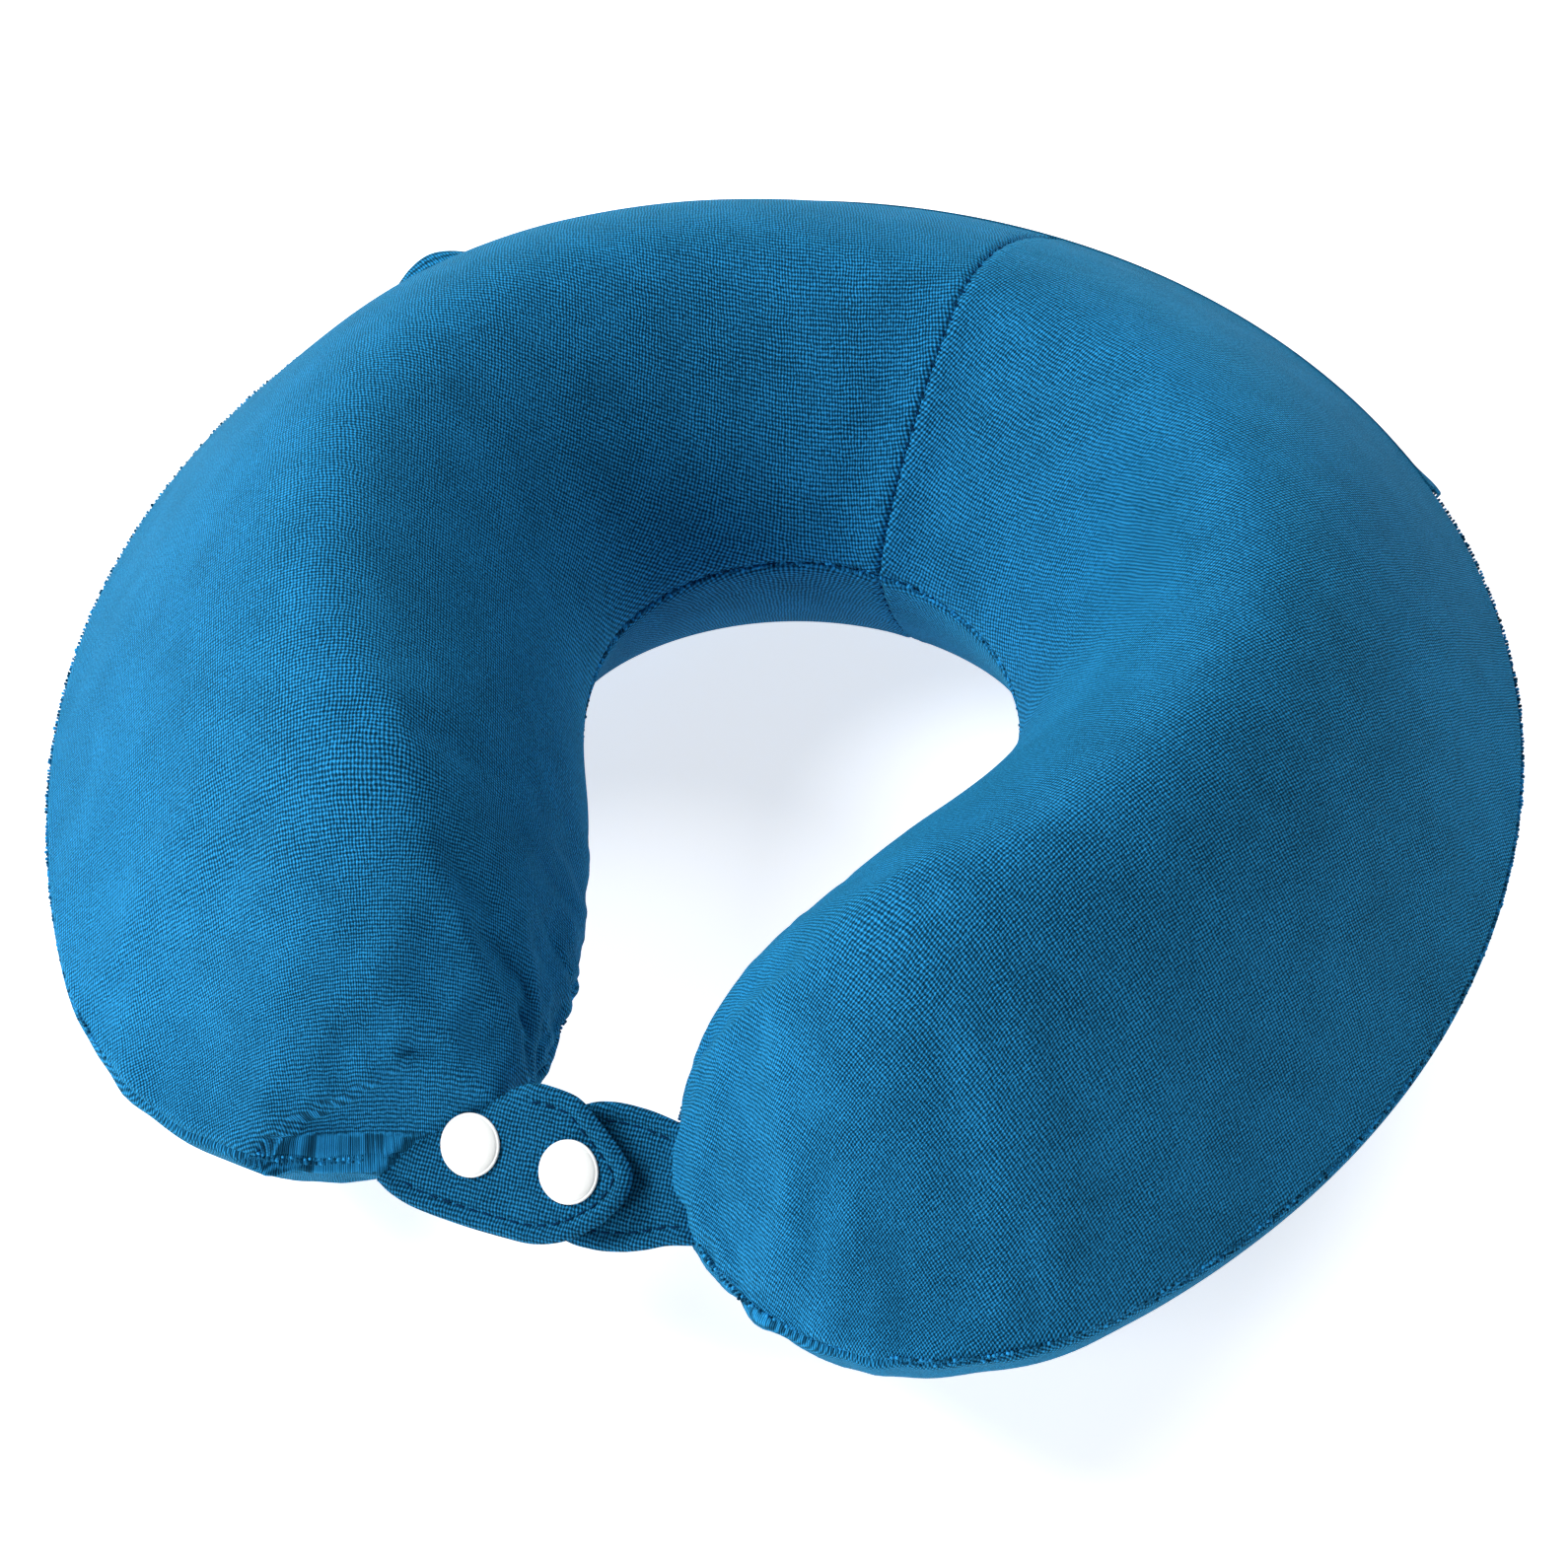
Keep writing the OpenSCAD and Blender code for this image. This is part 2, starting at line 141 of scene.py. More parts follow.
def pad_point(s, theta, inset=0.0):
    """A point of the right half: s along the middle line, theta round the section.
    theta is 0 at the outer seam, half a turn at the inner seam, and the second half turn is underneath."""
    s, theta = np.broadcast_arrays(np.asarray(s, float), np.asarray(theta, float))
    x, up = np.cos(theta), np.sin(theta) >= -1e-9
    q, s_in = s / TOTAL, s * (TOTAL - inset) / TOTAL
    ko, ki = rounding(s, ROUND_OUTER, OUTER_END), rounding(s, ROUND_INNER, INNER_END)
    kh = (ko * ki) ** (END_DROP / 2)
    half = np.where(x > 0, (along(OUTER_HALF, q) - inset) * ko, (along(INNER_HALF, q) - inset) * ki)
    top = (along(CROWN, q) - inset) * kh * np.where(x > 0, lens(x, OUTER_CURVE), lens(x, INNER_CURVE))
    under = -np.minimum((BELLY - inset) * kh * lens(x, UNDER_CURVE), REST_DEPTH - inset)
    plan = middle(s_in) + outward(s_in) * (half * x)[..., None]
    return np.concatenate([plan, np.where(up, top, under)[..., None]], -1)


# ---- the tabs' own plane
SNAP_AT = np.array([2.5, -120.5, 4.5])
TAB_TURN, TAB_TILT, TAB_ROLL = math.radians(-11), math.radians(44), math.radians(12)
TAB_MATRIX = np.array(Matrix.Rotation(TAB_TURN, 3, "Z") @ Matrix.Rotation(TAB_TILT, 3, "X")
                      @ Matrix.Rotation(TAB_ROLL, 3, "Z"))

# Each tab's outline as the places u, w that its four sides pass: the root along the arm's seam, the
# long lower and upper edges, and the rounded end
LEFT_TAB = {
    "root": ((-39.6, -11.8), (-36.0, -6.8), (-32.2, -1.6), (-27.0, 2.6), (-21.8, 6.8), (-14.1, 13.5)),
    "lower": ((-39.6, -11.8), (-31.7, -14.4), (-21.3, -15.4), (-11.0, -15.6), (-4.1, -15.2),
              (2.5, -12.7), (8.7, -7.7)),
    "upper": ((-14.1, 13.5), (-11.0, 14.5), (-8.1, 14.8), (-1.6, 14.0), (3.4, 10.7), (8.4, 7.0)),
    "end": ((8.7, -7.7), (11.6, -3.4), (12.6, 0.4), (11.9, 3.6), (8.4, 7.0)),
}
RIGHT_TAB = {
    "root": ((27.0, -8.0), (25.5, -2.0), (24.0, 4.0), (22.5, 12.6)),
    "lower": ((27.0, -8.0), (20.3, -9.6), (15.7, -11.6), (10.9, -13.2), (4.9, -14.2), (-1.5, -13.6),
              (-7.5, -8.6)),
    "upper": ((22.5, 12.6), (14.8, 14.0), (9.2, 14.5), (3.1, 14.2), (-2.0, 12.6), (-7.6, 8.4)),
    "end": ((-7.5, -8.6), (-11.0, -4.0), (-12.2, 0.0), (-11.0, 4.2), (-7.6, 8.4)),
}


def from_tab(points):
    """Places u along the left tab to its point, w across it and z out of its face, to pad coordinates."""
    return np.asarray(points, float) @ TAB_MATRIX.T + SNAP_AT


def to_tab(points):
    return (np.asarray(points, float) - SNAP_AT) @ TAB_MATRIX


def tab_to_frame(points):
    return to_frame(from_tab(points))


def grid_normals(points):
    """Unit normals of a grid of points, pointing out of the pad."""
    a, b = np.gradient(points, axis=0), np.gradient(points, axis=1)
    n = np.cross(b, a)
    length = np.linalg.norm(n, axis=-1, keepdims=True)
    return n / np.maximum(length, 1e-9)


# ---- mesh helpers
def new_object(name, vertices, faces, smooth=True):
    mesh = bpy.data.meshes.new(name)
    mesh.from_pydata([tuple(v) for v in vertices], [], faces)
    mesh.validate()
    obj = bpy.data.objects.new(name, mesh)
    bpy.context.scene.collection.objects.link(obj)
    if smooth:
        mesh.polygons.foreach_set("use_smooth", [True] * len(mesh.polygons))
    return obj


def assign(target, **values):
    for key, value in values.items():
        setattr(target, key, value)


def grid_faces(rows, columns, wrap=False, flip=False):
    """Quads over a grid of points, which wrap closes round its columns."""
    faces = []
    for i in range(rows - 1):
        for j in range(columns if wrap else columns - 1):
            a, b = i * columns + j, i * columns + (j + 1) % columns
            quad = (a, a + columns, b + columns, b)
            faces.append(quad[::-1] if flip else quad)
    return faces


def end_faces(rows, columns):
    """The two faces that close a wrapped grid at its first and last row."""
    return [tuple(range(columns)), tuple(reversed(range((rows - 1) * columns, rows * columns)))]


def merge_close(obj, distance=1e-6):
    bm = bmesh.new()
    bm.from_mesh(obj.data)
    bmesh.ops.remove_doubles(bm, verts=bm.verts, dist=distance)
    bmesh.ops.dissolve_degenerate(bm, dist=distance * 0.5, edges=bm.edges)
    bm.to_mesh(obj.data)
    bm.free()


def run_along(points):
    """Distance gone along each row of points, or along a single line, starting from 0."""
    steps = np.linalg.norm(np.diff(points, axis=-2), axis=-1)
    return np.concatenate([np.zeros_like(steps[..., :1]), np.cumsum(steps, -1)], -1)


def smooth_step(t):
    return t * t * (3 - 2 * t)


def resample(grid, old, new):
    """Smooth (cubic) values of a grid's first axis at new places; old and new are rising numbers."""
    old, new = np.asarray(old, float), np.asarray(new, float)
    at = np.interp(new, old, np.arange(len(old)))
    i = np.clip(np.floor(at).astype(int), 0, len(old) - 2)
    t = (at - i).reshape((-1,) + (1,) * (grid.ndim - 1))
    p0, p1 = grid[np.maximum(i - 1, 0)], grid[i]
    p2, p3 = grid[i + 1], grid[np.minimum(i + 2, len(old) - 1)]
    return 0.5 * (2 * p1 + (p2 - p0) * t + (2 * p0 - 5 * p1 + 4 * p2 - p3) * t ** 2
                  + (3 * p1 - p0 - 3 * p2 + p3) * t ** 3)


def bell(x, reach, place=0.0):
    return np.exp(-((x - place) / reach) ** 2)


def smooth_noise(size, knots, seed):
    """A smooth random curve from -1 to 1, through knots random values."""
    rng = np.random.default_rng(seed)
    return resample(rng.uniform(-1, 1, knots), np.linspace(0, 1, knots), np.linspace(0, 1, size))


# ---- cloth: the cover under tension
# The cloth's grid: rows along half the pad, crowded towards the tip, and columns over its top
SIM_ROWS, SIM_ACROSS, ROW_CROWDING = 58, 24, 1.9
CLOTH_FRAMES, PRESSURE = 20, 4.0
# How firmly the seams are held, and the rest of the cover by the foam
SEAM_HOLD, FOAM_HOLD = 0.9, 0.12
# The cloth is cut larger by TIP_EASE at the tips: from this share of the rows on, fully a further share on
TIP_EASE, EASE_FROM, EASE_OVER = 0.12, 0.62, 0.3
# Height that a fold may have, and the passes of blur that tell a fold from swelling
FOLD_CAP, SWELL_PASSES = 3.0, 24


def sim_rows():
    """Places along the middle line of the cloth's rows and of the foam's."""
    return TOTAL * (1 - (1 - np.linspace(0, 1, SIM_ROWS + 1)) ** ROW_CROWDING)


def simulate_cover():
    """Runs the whole cover as cloth under pressure, held by its seams, and returns how far each
    point of the right half's grid moves off the smooth pad, in millimetres."""
    s, theta = sim_rows(), np.linspace(0, 2 * math.pi, 2 * SIM_ACROSS, endpoint=False)
    half = pad_point(s[:, None], theta[None, :])
    tip, rings = half[-1, 0], half[:-1]
    tube = np.concatenate([rings[:0:-1] * MIRROR, rings])
    rows, columns = tube.shape[:2]
    vertices = np.concatenate([tube.reshape(-1, 3), [tip * MIRROR, tip]])
    faces = grid_faces(rows, columns, wrap=True)
    left_tip, right_tip, last = rows * columns, rows * columns + 1, (rows - 1) * columns
    for j in range(columns):
        k = (j + 1) % columns
        faces.append((left_tip, j, k))
        faces.append((right_tip, last + k, last + j))
    cover = new_object("cover_cloth", to_frame(vertices), faces)
    # The seams hold along both edges and across the back, and the foam holds a little everywhere
    from_back = np.abs(np.arange(rows) - (SIM_ROWS - 1))
    near_tip = np.clip((from_back - SIM_ROWS * EASE_FROM) / (SIM_ROWS * EASE_OVER), 0, 1)
    hold, slack = cover.vertex_groups.new(name="hold"), cover.vertex_groups.new(name="slack")
    for i in range(rows):
        for j in range(columns):
            seam = j in (0, SIM_ACROSS) or i == SIM_ROWS - 1
            hold.add([i * columns + j], SEAM_HOLD if seam else FOAM_HOLD, "REPLACE")
            slack.add([i * columns + j], float(1 - near_tip[i]), "REPLACE")
    hold.add([left_tip, right_tip], SEAM_HOLD, "REPLACE")
    slack.add([left_tip, right_tip], 0.0, "REPLACE")
    cloth = cover.modifiers.new("cloth", "CLOTH")
    assign(cloth.settings, quality=6, mass=0.15, tension_stiffness=18, compression_stiffness=18,
           shear_stiffness=6, bending_stiffness=0.08, tension_damping=20, compression_damping=20,
           vertex_group_mass="hold", pin_stiffness=1.2, use_pressure=True,
           uniform_pressure_force=PRESSURE, vertex_group_shrink="slack", shrink_min=-TIP_EASE, shrink_max=0)
    cloth.settings.effector_weights.gravity = 0
    cloth.collision_settings.use_collision = False
    cloth.point_cache.frame_start, cloth.point_cache.frame_end = 1, CLOTH_FRAMES
    for step in range(1, CLOTH_FRAMES + 1):
        bpy.context.scene.frame_set(step)
    bpy.context.view_layer.update()
    settled = cover.evaluated_get(bpy.context.evaluated_depsgraph_get()).data
    co = np.array([v.co for v in settled.vertices]) / MM - PAD_CENTRE
    bpy.data.objects.remove(cover)
    bpy.context.scene.frame_set(1)
    moved = (co - vertices)[:rows * columns].reshape(rows, columns, 3)
    right, left = moved[SIM_ROWS - 1:], moved[SIM_ROWS - 1::-1] * MIRROR
    return folds_only(right), folds_only(left)


def blurred(grid, passes):
    """Running mean of a grid, wrapped round the section and held at its first and last row."""
    out = grid
    for _ in range(passes):
        padded = np.concatenate([out[:1], out, out[-1:]])
        out = (padded[:-2] + 2 * out + padded[2:]) / 4
        out = (np.roll(out, 1, 1) + 2 * out + np.roll(out, -1, 1)) / 4
    return out


def folds_only(moved):
    """What is left of a displacement without its broad swelling, capped, with the tip held still."""
    folds = moved - blurred(moved, SWELL_PASSES)
    size = np.linalg.norm(folds, axis=-1, keepdims=True)
    folds = folds * np.minimum(1, FOLD_CAP / np.maximum(size, 1e-9))
    return np.concatenate([folds, np.zeros_like(folds[:1])])


right_folds, left_folds = simulate_cover()


# ---- cover panels
# Columns of a panel, rows round its tip and the length they take, and the largest step between others
ACROSS, TIP_ROWS, TIP_STRETCH, BACK_STEP = 84, 52, 40.0, 1.7
GROOVE_FIRST_STEP, GROOVE_GROWTH = 0.35, 1.22
FABRIC, FLOOR_CLEARANCE = 0.8, 1.2
# Depth and half width of the groove that a seam pulls into the fabric
EDGE_SEAM, CENTRE_SEAM = (0.8, 1.0), (1.2, 0.8)
# The centre seam's stitches and the height and reach of their puckers
STITCH_PITCH, PUCKER_HEIGHT, PUCKER_REACH = 3.4, 0.22, 3.0
# The dents beside the centre seam above the neck: depth, and reach and place off each seam
DENT, DENT_OFF_CENTRE, DENT_OFF_NECK = 1.3, (5.5, 7.5), (26, 34)
# The zip's ends in degrees from the back's middle, and how far it runs under the edge seam
ZIP_LEFT, ZIP_RIGHT, ZIP_DROP = 57.5, 41.5, 5.5


def panel_rows():
    """Places along the middle line: close together by the centre seam and round the tip."""
    places, step = [0.0], GROOVE_FIRST_STEP
    while places[-1] + step < TOTAL - TIP_STRETCH:
        places.append(places[-1] + step)
        step = min(step * GROOVE_GROWTH, BACK_STEP)
    tip = TOTAL - TIP_STRETCH * (1 - np.linspace(0, 1, TIP_ROWS + 1)) ** ROW_CROWDING
    return np.concatenate([places, tip])


def surface(left, body_folds=0.08, end_folds=0.5):
    """Rings of points over one half of the pad, as if on the right, with its folds and gathers, and
    the smooth pad's normals."""
    s = panel_rows()
    theta = np.linspace(0, 2 * math.pi, 2 * ACROSS + 1)
    points = ease_ridges(pad_point(s[:, None], theta[None, :]), theta)
    normals = grid_normals(points)
    folds = left_folds if left else right_folds
    folds = np.concatenate([folds, folds[:, :1]], 1)
    folds = resample(folds, sim_rows(), s)
    old = np.linspace(0, 2 * math.pi, 2 * SIM_ACROSS + 1)
    folds = resample(folds.transpose(1, 0, 2), old, theta).transpose(1, 0, 2)
    share = body_folds + end_folds * smooth_step(toward_tip(s, 80, 45))
    points = points + folds * share[:, None, None]
    points = points + normals * gathers(points, s, left)[..., None]
    if left:
        points = seat_tab(points)
    points[..., 2] = np.maximum(points[..., 2], FLOOR_CLEARANCE - REST_DEPTH)
    return s, theta, points, normals


def toward_tip(s, start, length):
    """0 up to start before the tip and 1 from length further on."""
    return np.clip((s - (TOTAL - start)) / length, 0, 1)


def ease_ridges(points, theta, passes=8, move=0.5, rise=1.6, offset=0.35):
    """Rounds the crown, where the outer and inner curves of a section meet, and leaves the seams."""
    free = np.clip(np.abs(np.sin(theta)) * rise - offset, 0, 1)[None, 1:-1, None] * move
    for _ in range(passes):
        mean = (points[:, :-2] + points[:, 2:]) / 2
        points[:, 1:-1] += free * (mean - points[:, 1:-1])
    return points


# The left arm's inner front corner: how far it swells, over what reach, and about which place
CORNER_SWELL, CORNER_REACH, CORNER_AT = 5.0, 14.0, np.array([-24.0, 6.0, -6.0])
# No pile stands on the seam this close to the corner, where the tab's root covers it
CORNER_BARE = 24.0
# The cover's highest level under the tab, at the crease along its root, and its rise behind it
UNDER_TAB, CREASE_LEVEL, CREASE_RISE, CREASE_POWER = -1.9, -1.1, 1.05, 0.9
# The root's slant, and the crease's middle, half length, fade at its ends, and reach
ROOT_SLANT, CREASE_MIDDLE, CREASE_HALF, CREASE_FADE, CREASE_REACH = 0.71, 1, 19, 4, 14


def seat_tab(points):
    """Fills out the corner that the left tab is sewn to, and lays the cover behind the tab with a
    crease along its root."""
    q = to_tab(points * MIRROR)
    q[..., 0] += CORNER_SWELL * np.exp(-((q - CORNER_AT) ** 2).sum(-1) / CORNER_REACH ** 2)
    root = np.array(LEFT_TAB["root"])
    past = (q[..., 0] - np.interp(q[..., 1], root[:, 1], root[:, 0])) * ROOT_SLANT
    rising = CREASE_LEVEL + CREASE_RISE * np.abs(np.minimum(past, 0)) ** CREASE_POWER
    limit = np.where(past > 0, UNDER_TAB, rising)
    near = np.clip((CREASE_HALF - np.abs(q[..., 1] - CREASE_MIDDLE)) / CREASE_FADE, 0, 1)
    near = near * (q[..., 2] > -CREASE_REACH) * (past > -CREASE_REACH)
    q[..., 2] += near * (np.minimum(q[..., 2], limit) - q[..., 2])
    return from_tab(q) * MIRROR


# The middle that the gathers and the knit at an arm's end turn about
END_RADIUS = 46.0
END_CENTRE = middle(np.array([TOTAL - END_RADIUS]))[0]


def gathers(points, s, left, height=2.3, rise_length=1.6, run=13.0, run_varies=6.0, places=721):
    """Height of the folds that the tight seam gathers round an arm's end."""
    angle = np.arctan2(points[..., 1] - END_CENTRE[1], points[..., 0] - END_CENTRE[0])
    turn = np.linspace(-math.pi, math.pi, places)
    fine = smooth_noise(places, knots=70, seed=11 + left)
    broad = smooth_noise(places, knots=36, seed=23 + left)
    longer = smooth_noise(places, knots=50, seed=37 + left)
    wave = np.interp(angle, turn, 0.5 * fine + 0.9 * broad)
    reach = np.interp(angle, turn, run + run_varies * longer)
    off_seam = np.minimum(arc_from(points, 0), arc_from(points, ACROSS))
    rise = 1 - np.exp(-off_seam / rise_length)
    return height * wave * rise * np.exp(-off_seam / reach) * toward_tip(s, 52, 24)[:, None]


def arc_from(points, column):
    """Distance of each point from the seam in that column, measured along its own section."""
    run = run_along(points)
    d = np.abs(run - run[:, column:column + 1])
    return np.minimum(d, run[:, -1:] - d)


def grain_of(points, s, theta, left, turn=math.radians(23), narrowing=0.85, end_spread=0.5, end_start=8.0):
    """Knit coordinates in millimetres: the panel laid flat, a little narrower than it is, with its ribs
    at an angle to the arm, and spread out round the arm's end with the drop from the crown."""
    run = run_along(points)
    run = run - run[:, ACROSS // 2:ACROSS // 2 + 1]
    sign = np.sign(np.cos(theta[0]) - np.cos(theta[-1]))
    flat = middle(s)[:, None, :] - outward(s)[:, None, :] * (run * narrowing * sign)[..., None]
    across = points[..., :2] - END_CENTRE
    spread = across / np.maximum(np.linalg.norm(across, axis=-1, keepdims=True), 1e-6)
    drop = CROWN[-1] - np.abs(points[..., 2:])
    round_end = points[..., :2] + spread * (end_spread * drop - end_start)
    share = smooth_step(toward_tip(s, END_RADIUS, 26))[:, None, None]
    flat = flat * (1 - share) + round_end * share
    u = flat[..., 0] * math.cos(turn) - flat[..., 1] * math.sin(turn)
    v = flat[..., 0] * math.sin(turn) + flat[..., 1] * math.cos(turn)
    return np.stack([-u if left else u, v, np.zeros_like(u)], -1)


def set_grain(obj, values):
    """Stores the knit coordinates that the knit's material reads."""
    attribute = obj.data.attributes.new("grain", "FLOAT_VECTOR", "POINT")
    attribute.data.foreach_set("vector", np.asarray(values, np.float32).ravel())


def off_zip(s, left):
    """0 where the top panel runs straight on into the flap over the zip, and 1 past its ends."""
    end = BACK_RADIUS * math.radians(ZIP_LEFT if left else ZIP_RIGHT)
    return np.clip((s - end + 1.0) / 2.0, 0, 1)[:, None]


def build_panel(name, left, up):
    """One of the cover's four panels, with the grooves and puckers of its seams."""
    s, theta, points, normals = surface(left)
    columns = slice(0, ACROSS + 1) if up else slice(ACROSS, 2 * ACROSS + 1)
    theta, points, normals = theta[columns], points[:, columns], normals[:, columns]
    run, off_centre = run_along(points), run_along(points.transpose(1, 0, 2)).T
    off_outer, off_inner = (run, run[:, -1:] - run) if up else (run[:, -1:] - run, run)
    outer = bell(off_outer, EDGE_SEAM[1]) * (off_zip(s, left) if up else 1.0)
    depth = EDGE_SEAM[0] * np.maximum(outer, bell(off_inner, EDGE_SEAM[1]))
    pucker = PUCKER_HEIGHT * np.sin(run * 2 * math.pi / STITCH_PITCH) * bell(off_centre, PUCKER_REACH)
    depth = np.maximum(depth, CENTRE_SEAM[0] * bell(off_centre, CENTRE_SEAM[1])) + pucker
    if up:
        depth = depth + DENT * bell(off_inner, *DENT_OFF_NECK) * bell(off_centre, *DENT_OFF_CENTRE)
    grain = grain_of(points, s, theta, left)
    points = points - normals * depth[..., None]
    if left:
        points = points * MIRROR
    obj = new_object(name, to_frame(points).reshape(-1, 3),
                     grid_faces(len(s), points.shape[1], flip=not left))
    set_grain(obj, grain)
    merge_close(obj)
    thick = obj.modifiers.new("thickness", "SOLIDIFY")
    thick.thickness, thick.offset = FABRIC * MM, 1
    return obj


# ---- materials
class Nodes:
    """Short way to build a material's node tree."""

    def __init__(self, name):
        self.material = bpy.data.materials.new(name)
        self.material.use_nodes = True
        self.tree = self.material.node_tree
        self.shader = self.tree.nodes["Principled BSDF"]

    def add(self, kind, inputs=None, **settings):
        node = self.tree.nodes.new(kind)
        assign(node, **settings)
        for key, value in (inputs or {}).items():
            self.set(node, key, value)
        return node

    def set(self, node, key, value):
        if isinstance(value, bpy.types.NodeSocket):
            self.tree.links.new(value, node.inputs[key])
        else:
            node.inputs[key].default_value = value

    def math(self, operation, a, b=0.0, c=0.0):
        return self.add("ShaderNodeMath", {0: a, 1: b, 2: c}, operation=operation).outputs[0]

    def place(self):
        """Coordinates in metres in the row frame."""
        return self.add("ShaderNodeTexCoord").outputs["Object"]

    def noise(self, vector, scale, detail=2.0, rough=0.5):
        settings = {"Scale": scale, "Detail": detail, "Roughness": rough, "Vector": vector}
        return self.add("ShaderNodeTexNoise", settings).outputs["Fac"]

    def waves(self, distance, length):
        """A sine over a distance, from -1 to 1, one wave in each length."""
        return self.math("SINE", self.math("MULTIPLY", distance, 2 * math.pi / length))

    def ramp(self, value, stops):
        node = self.add("ShaderNodeValToRGB", {0: value})
        while len(node.color_ramp.elements) < len(stops):
            node.color_ramp.elements.new(0.5)
        for element, (place, colour) in zip(node.color_ramp.elements, stops):
            element.position, element.color = place, colour
        return node.outputs[0]

    def finish(self, colour, roughness, height=None, distance=0.001, strength=1.0, **fixed):
        self.set(self.shader, "Base Color", colour)
        self.set(self.shader, "Roughness", roughness)
        if height is not None:
            settings = {"Height": height, "Distance": distance, "Strength": strength}
            self.set(self.shader, "Normal", self.add("ShaderNodeBump", settings).outputs[0])
        for key, value in fixed.items():
            self.shader.inputs[key.replace("_", " ")].default_value = value
        return self.material


def shade(colour, factor):
    return (colour[0] * factor, colour[1] * factor, colour[2] * factor, 1.0)


# Width of one loop as a share of the distance between rows
LOOP_SHARE = 0.8


def knit_material(name, colour, pitch=0.76, sheen=0.34, relief=0.0005):
    """Short-pile knit: rows of small loops, a nap that mottles, and a soft sheen."""
    n = Nodes(name)
    grain = n.add("ShaderNodeAttribute", attribute_name="grain").outputs["Vector"]
    place = n.place()
    # The rows wander by up to half a millimetre from straight
    wander = n.add("ShaderNodeTexNoise", {"Vector": grain, "Scale": 0.25, "Detail": 2.0}).outputs["Color"]
    shift = n.add("ShaderNodeVectorMath", {0: wander, 1: (0.5, 0.5, 0.5)}, operation="SUBTRACT").outputs[0]
    moved = n.add("ShaderNodeVectorMath", {0: shift, 1: (0.9, 0.9, 0.0), 2: grain}, operation="MULTIPLY_ADD")
    parts = n.add("ShaderNodeSeparateXYZ", {0: moved.outputs[0]})
    row, column = n.waves(parts.outputs[1], pitch), n.waves(parts.outputs[0], pitch * LOOP_SHARE)
    loops = n.math("MULTIPLY_ADD", row, 0.24, n.math("MULTIPLY_ADD", column, 0.26, 0.5))
    fuzz = n.noise(grain, 1.5, 2.0, 0.8)
    nap = n.noise(place, 95.0, 4.0, 0.65)
    broad = n.noise(place, 14.0, 2.0, 0.5)
    value = n.math("MULTIPLY_ADD", loops, 0.95, n.math("MULTIPLY_ADD", fuzz, 1.15, -0.55))
    value = n.math("ADD", value, n.math("MULTIPLY_ADD", nap, 0.3, -0.15))
    value = n.math("ADD", value, n.math("MULTIPLY_ADD", broad, 0.24, -0.12))
    shades = ((0.14, 0.2), (0.5, 0.9), (0.88, 2.7))
    tone = n.ramp(value, [(at, shade(colour, factor)) for at, factor in shades])
    height = n.math("MULTIPLY_ADD", loops, 0.6, n.math("MULTIPLY", fuzz, 0.8))
    return n.finish(tone, 0.9, height, relief, 0.8, Sheen_Weight=sheen, Sheen_Roughness=0.4,
                    Sheen_Tint=(0.07, 0.6, 0.88, 1.0), Specular_IOR_Level=0.08,
                    Specular_Tint=(0.1, 0.6, 1.0, 1.0))


KNIT_BLUE = (0.009, 0.116, 0.258)
# Painted shade: the under panels and the lower zip flap take the top knit's colour at 0.9 of its brightness,
# darker for the side that faces down, away from the lamps.
UNDER_PAINTED_SHADE, TAB_SHADE = 0.9, 0.62
knit_top = knit_material("knit_top", KNIT_BLUE)
knit_under = knit_material("knit_under", tuple(c * UNDER_PAINTED_SHADE for c in KNIT_BLUE))
knit_tab = knit_material("knit_tab", tuple(c * TAB_SHADE for c in KNIT_BLUE), 0.85, 0.25, 0.0006)


def thread_material():
    """Dark blue sewing thread with a twist."""
    n = Nodes("thread")
    settings = {"Vector": n.place(), "Scale": 900.0, "Distortion": 1.0}
    twist = n.add("ShaderNodeTexWave", settings).outputs["Fac"]
    tone = n.ramp(twist, [(0.2, (0.0004, 0.014, 0.045, 1)), (0.8, (0.001, 0.035, 0.1, 1))])
    return n.finish(tone, 0.8, twist, 0.0001, 0.6, Specular_IOR_Level=0.05)


def plastic_material(name, colour, roughness, variation=0.03, coat=0.0):
    """Moulded plastic with a faint cloud in its colour and a fine grain."""
    n = Nodes(name)
    place = n.place()
    cloud, grain = n.noise(place, 160.0, 3.0), n.noise(place, 1500.0, 2.0)
    tone = n.ramp(cloud, [(0.3, shade(colour, 1 - variation)), (0.7, shade(colour, 1 + variation))])
    rough = n.math("MULTIPLY_ADD", grain, roughness * 0.35, roughness * 0.82)
    return n.finish(tone, rough, grain, 0.00003, 0.4, Coat_Weight=coat, Coat_Roughness=0.08)


def tape_material():
    """Woven zip tape: a fine herringbone of polyester threads."""
    n = Nodes("zip_tape")
    parts = n.add("ShaderNodeSeparateXYZ", {0: n.place()})
    across = n.waves(parts.outputs[2], 0.5 * MM)
    angle = n.math("ARCTAN2", parts.outputs[0], n.math("SUBTRACT", parts.outputs[1], PAD_CENTRE[1] * MM))
    ribs = n.waves(angle, 0.7 / SEAM_RADIUS)
    weave = n.math("MULTIPLY_ADD", n.math("MULTIPLY", across, ribs), 0.5, 0.5)
    tone = n.ramp(weave, [(0.2, (0.004, 0.004, 0.005, 1)), (0.9, (0.022, 0.022, 0.025, 1))])
    return n.finish(tone, 0.85, weave, 0.0001, 0.8, Sheen_Weight=0.1)


def foam_material():
    """Cream foam with open cells."""
    n = Nodes("foam")
    cells = n.add("ShaderNodeTexVoronoi", {"Vector": n.place(), "Scale": 900.0}).outputs["Distance"]
    tone = n.ramp(cells, [(0.1, (0.45, 0.4, 0.26, 1)), (0.6, (0.86, 0.8, 0.62, 1))])
    return n.finish(tone, 0.9, cells, 0.0004, 0.7, Subsurface_Weight=0.05)


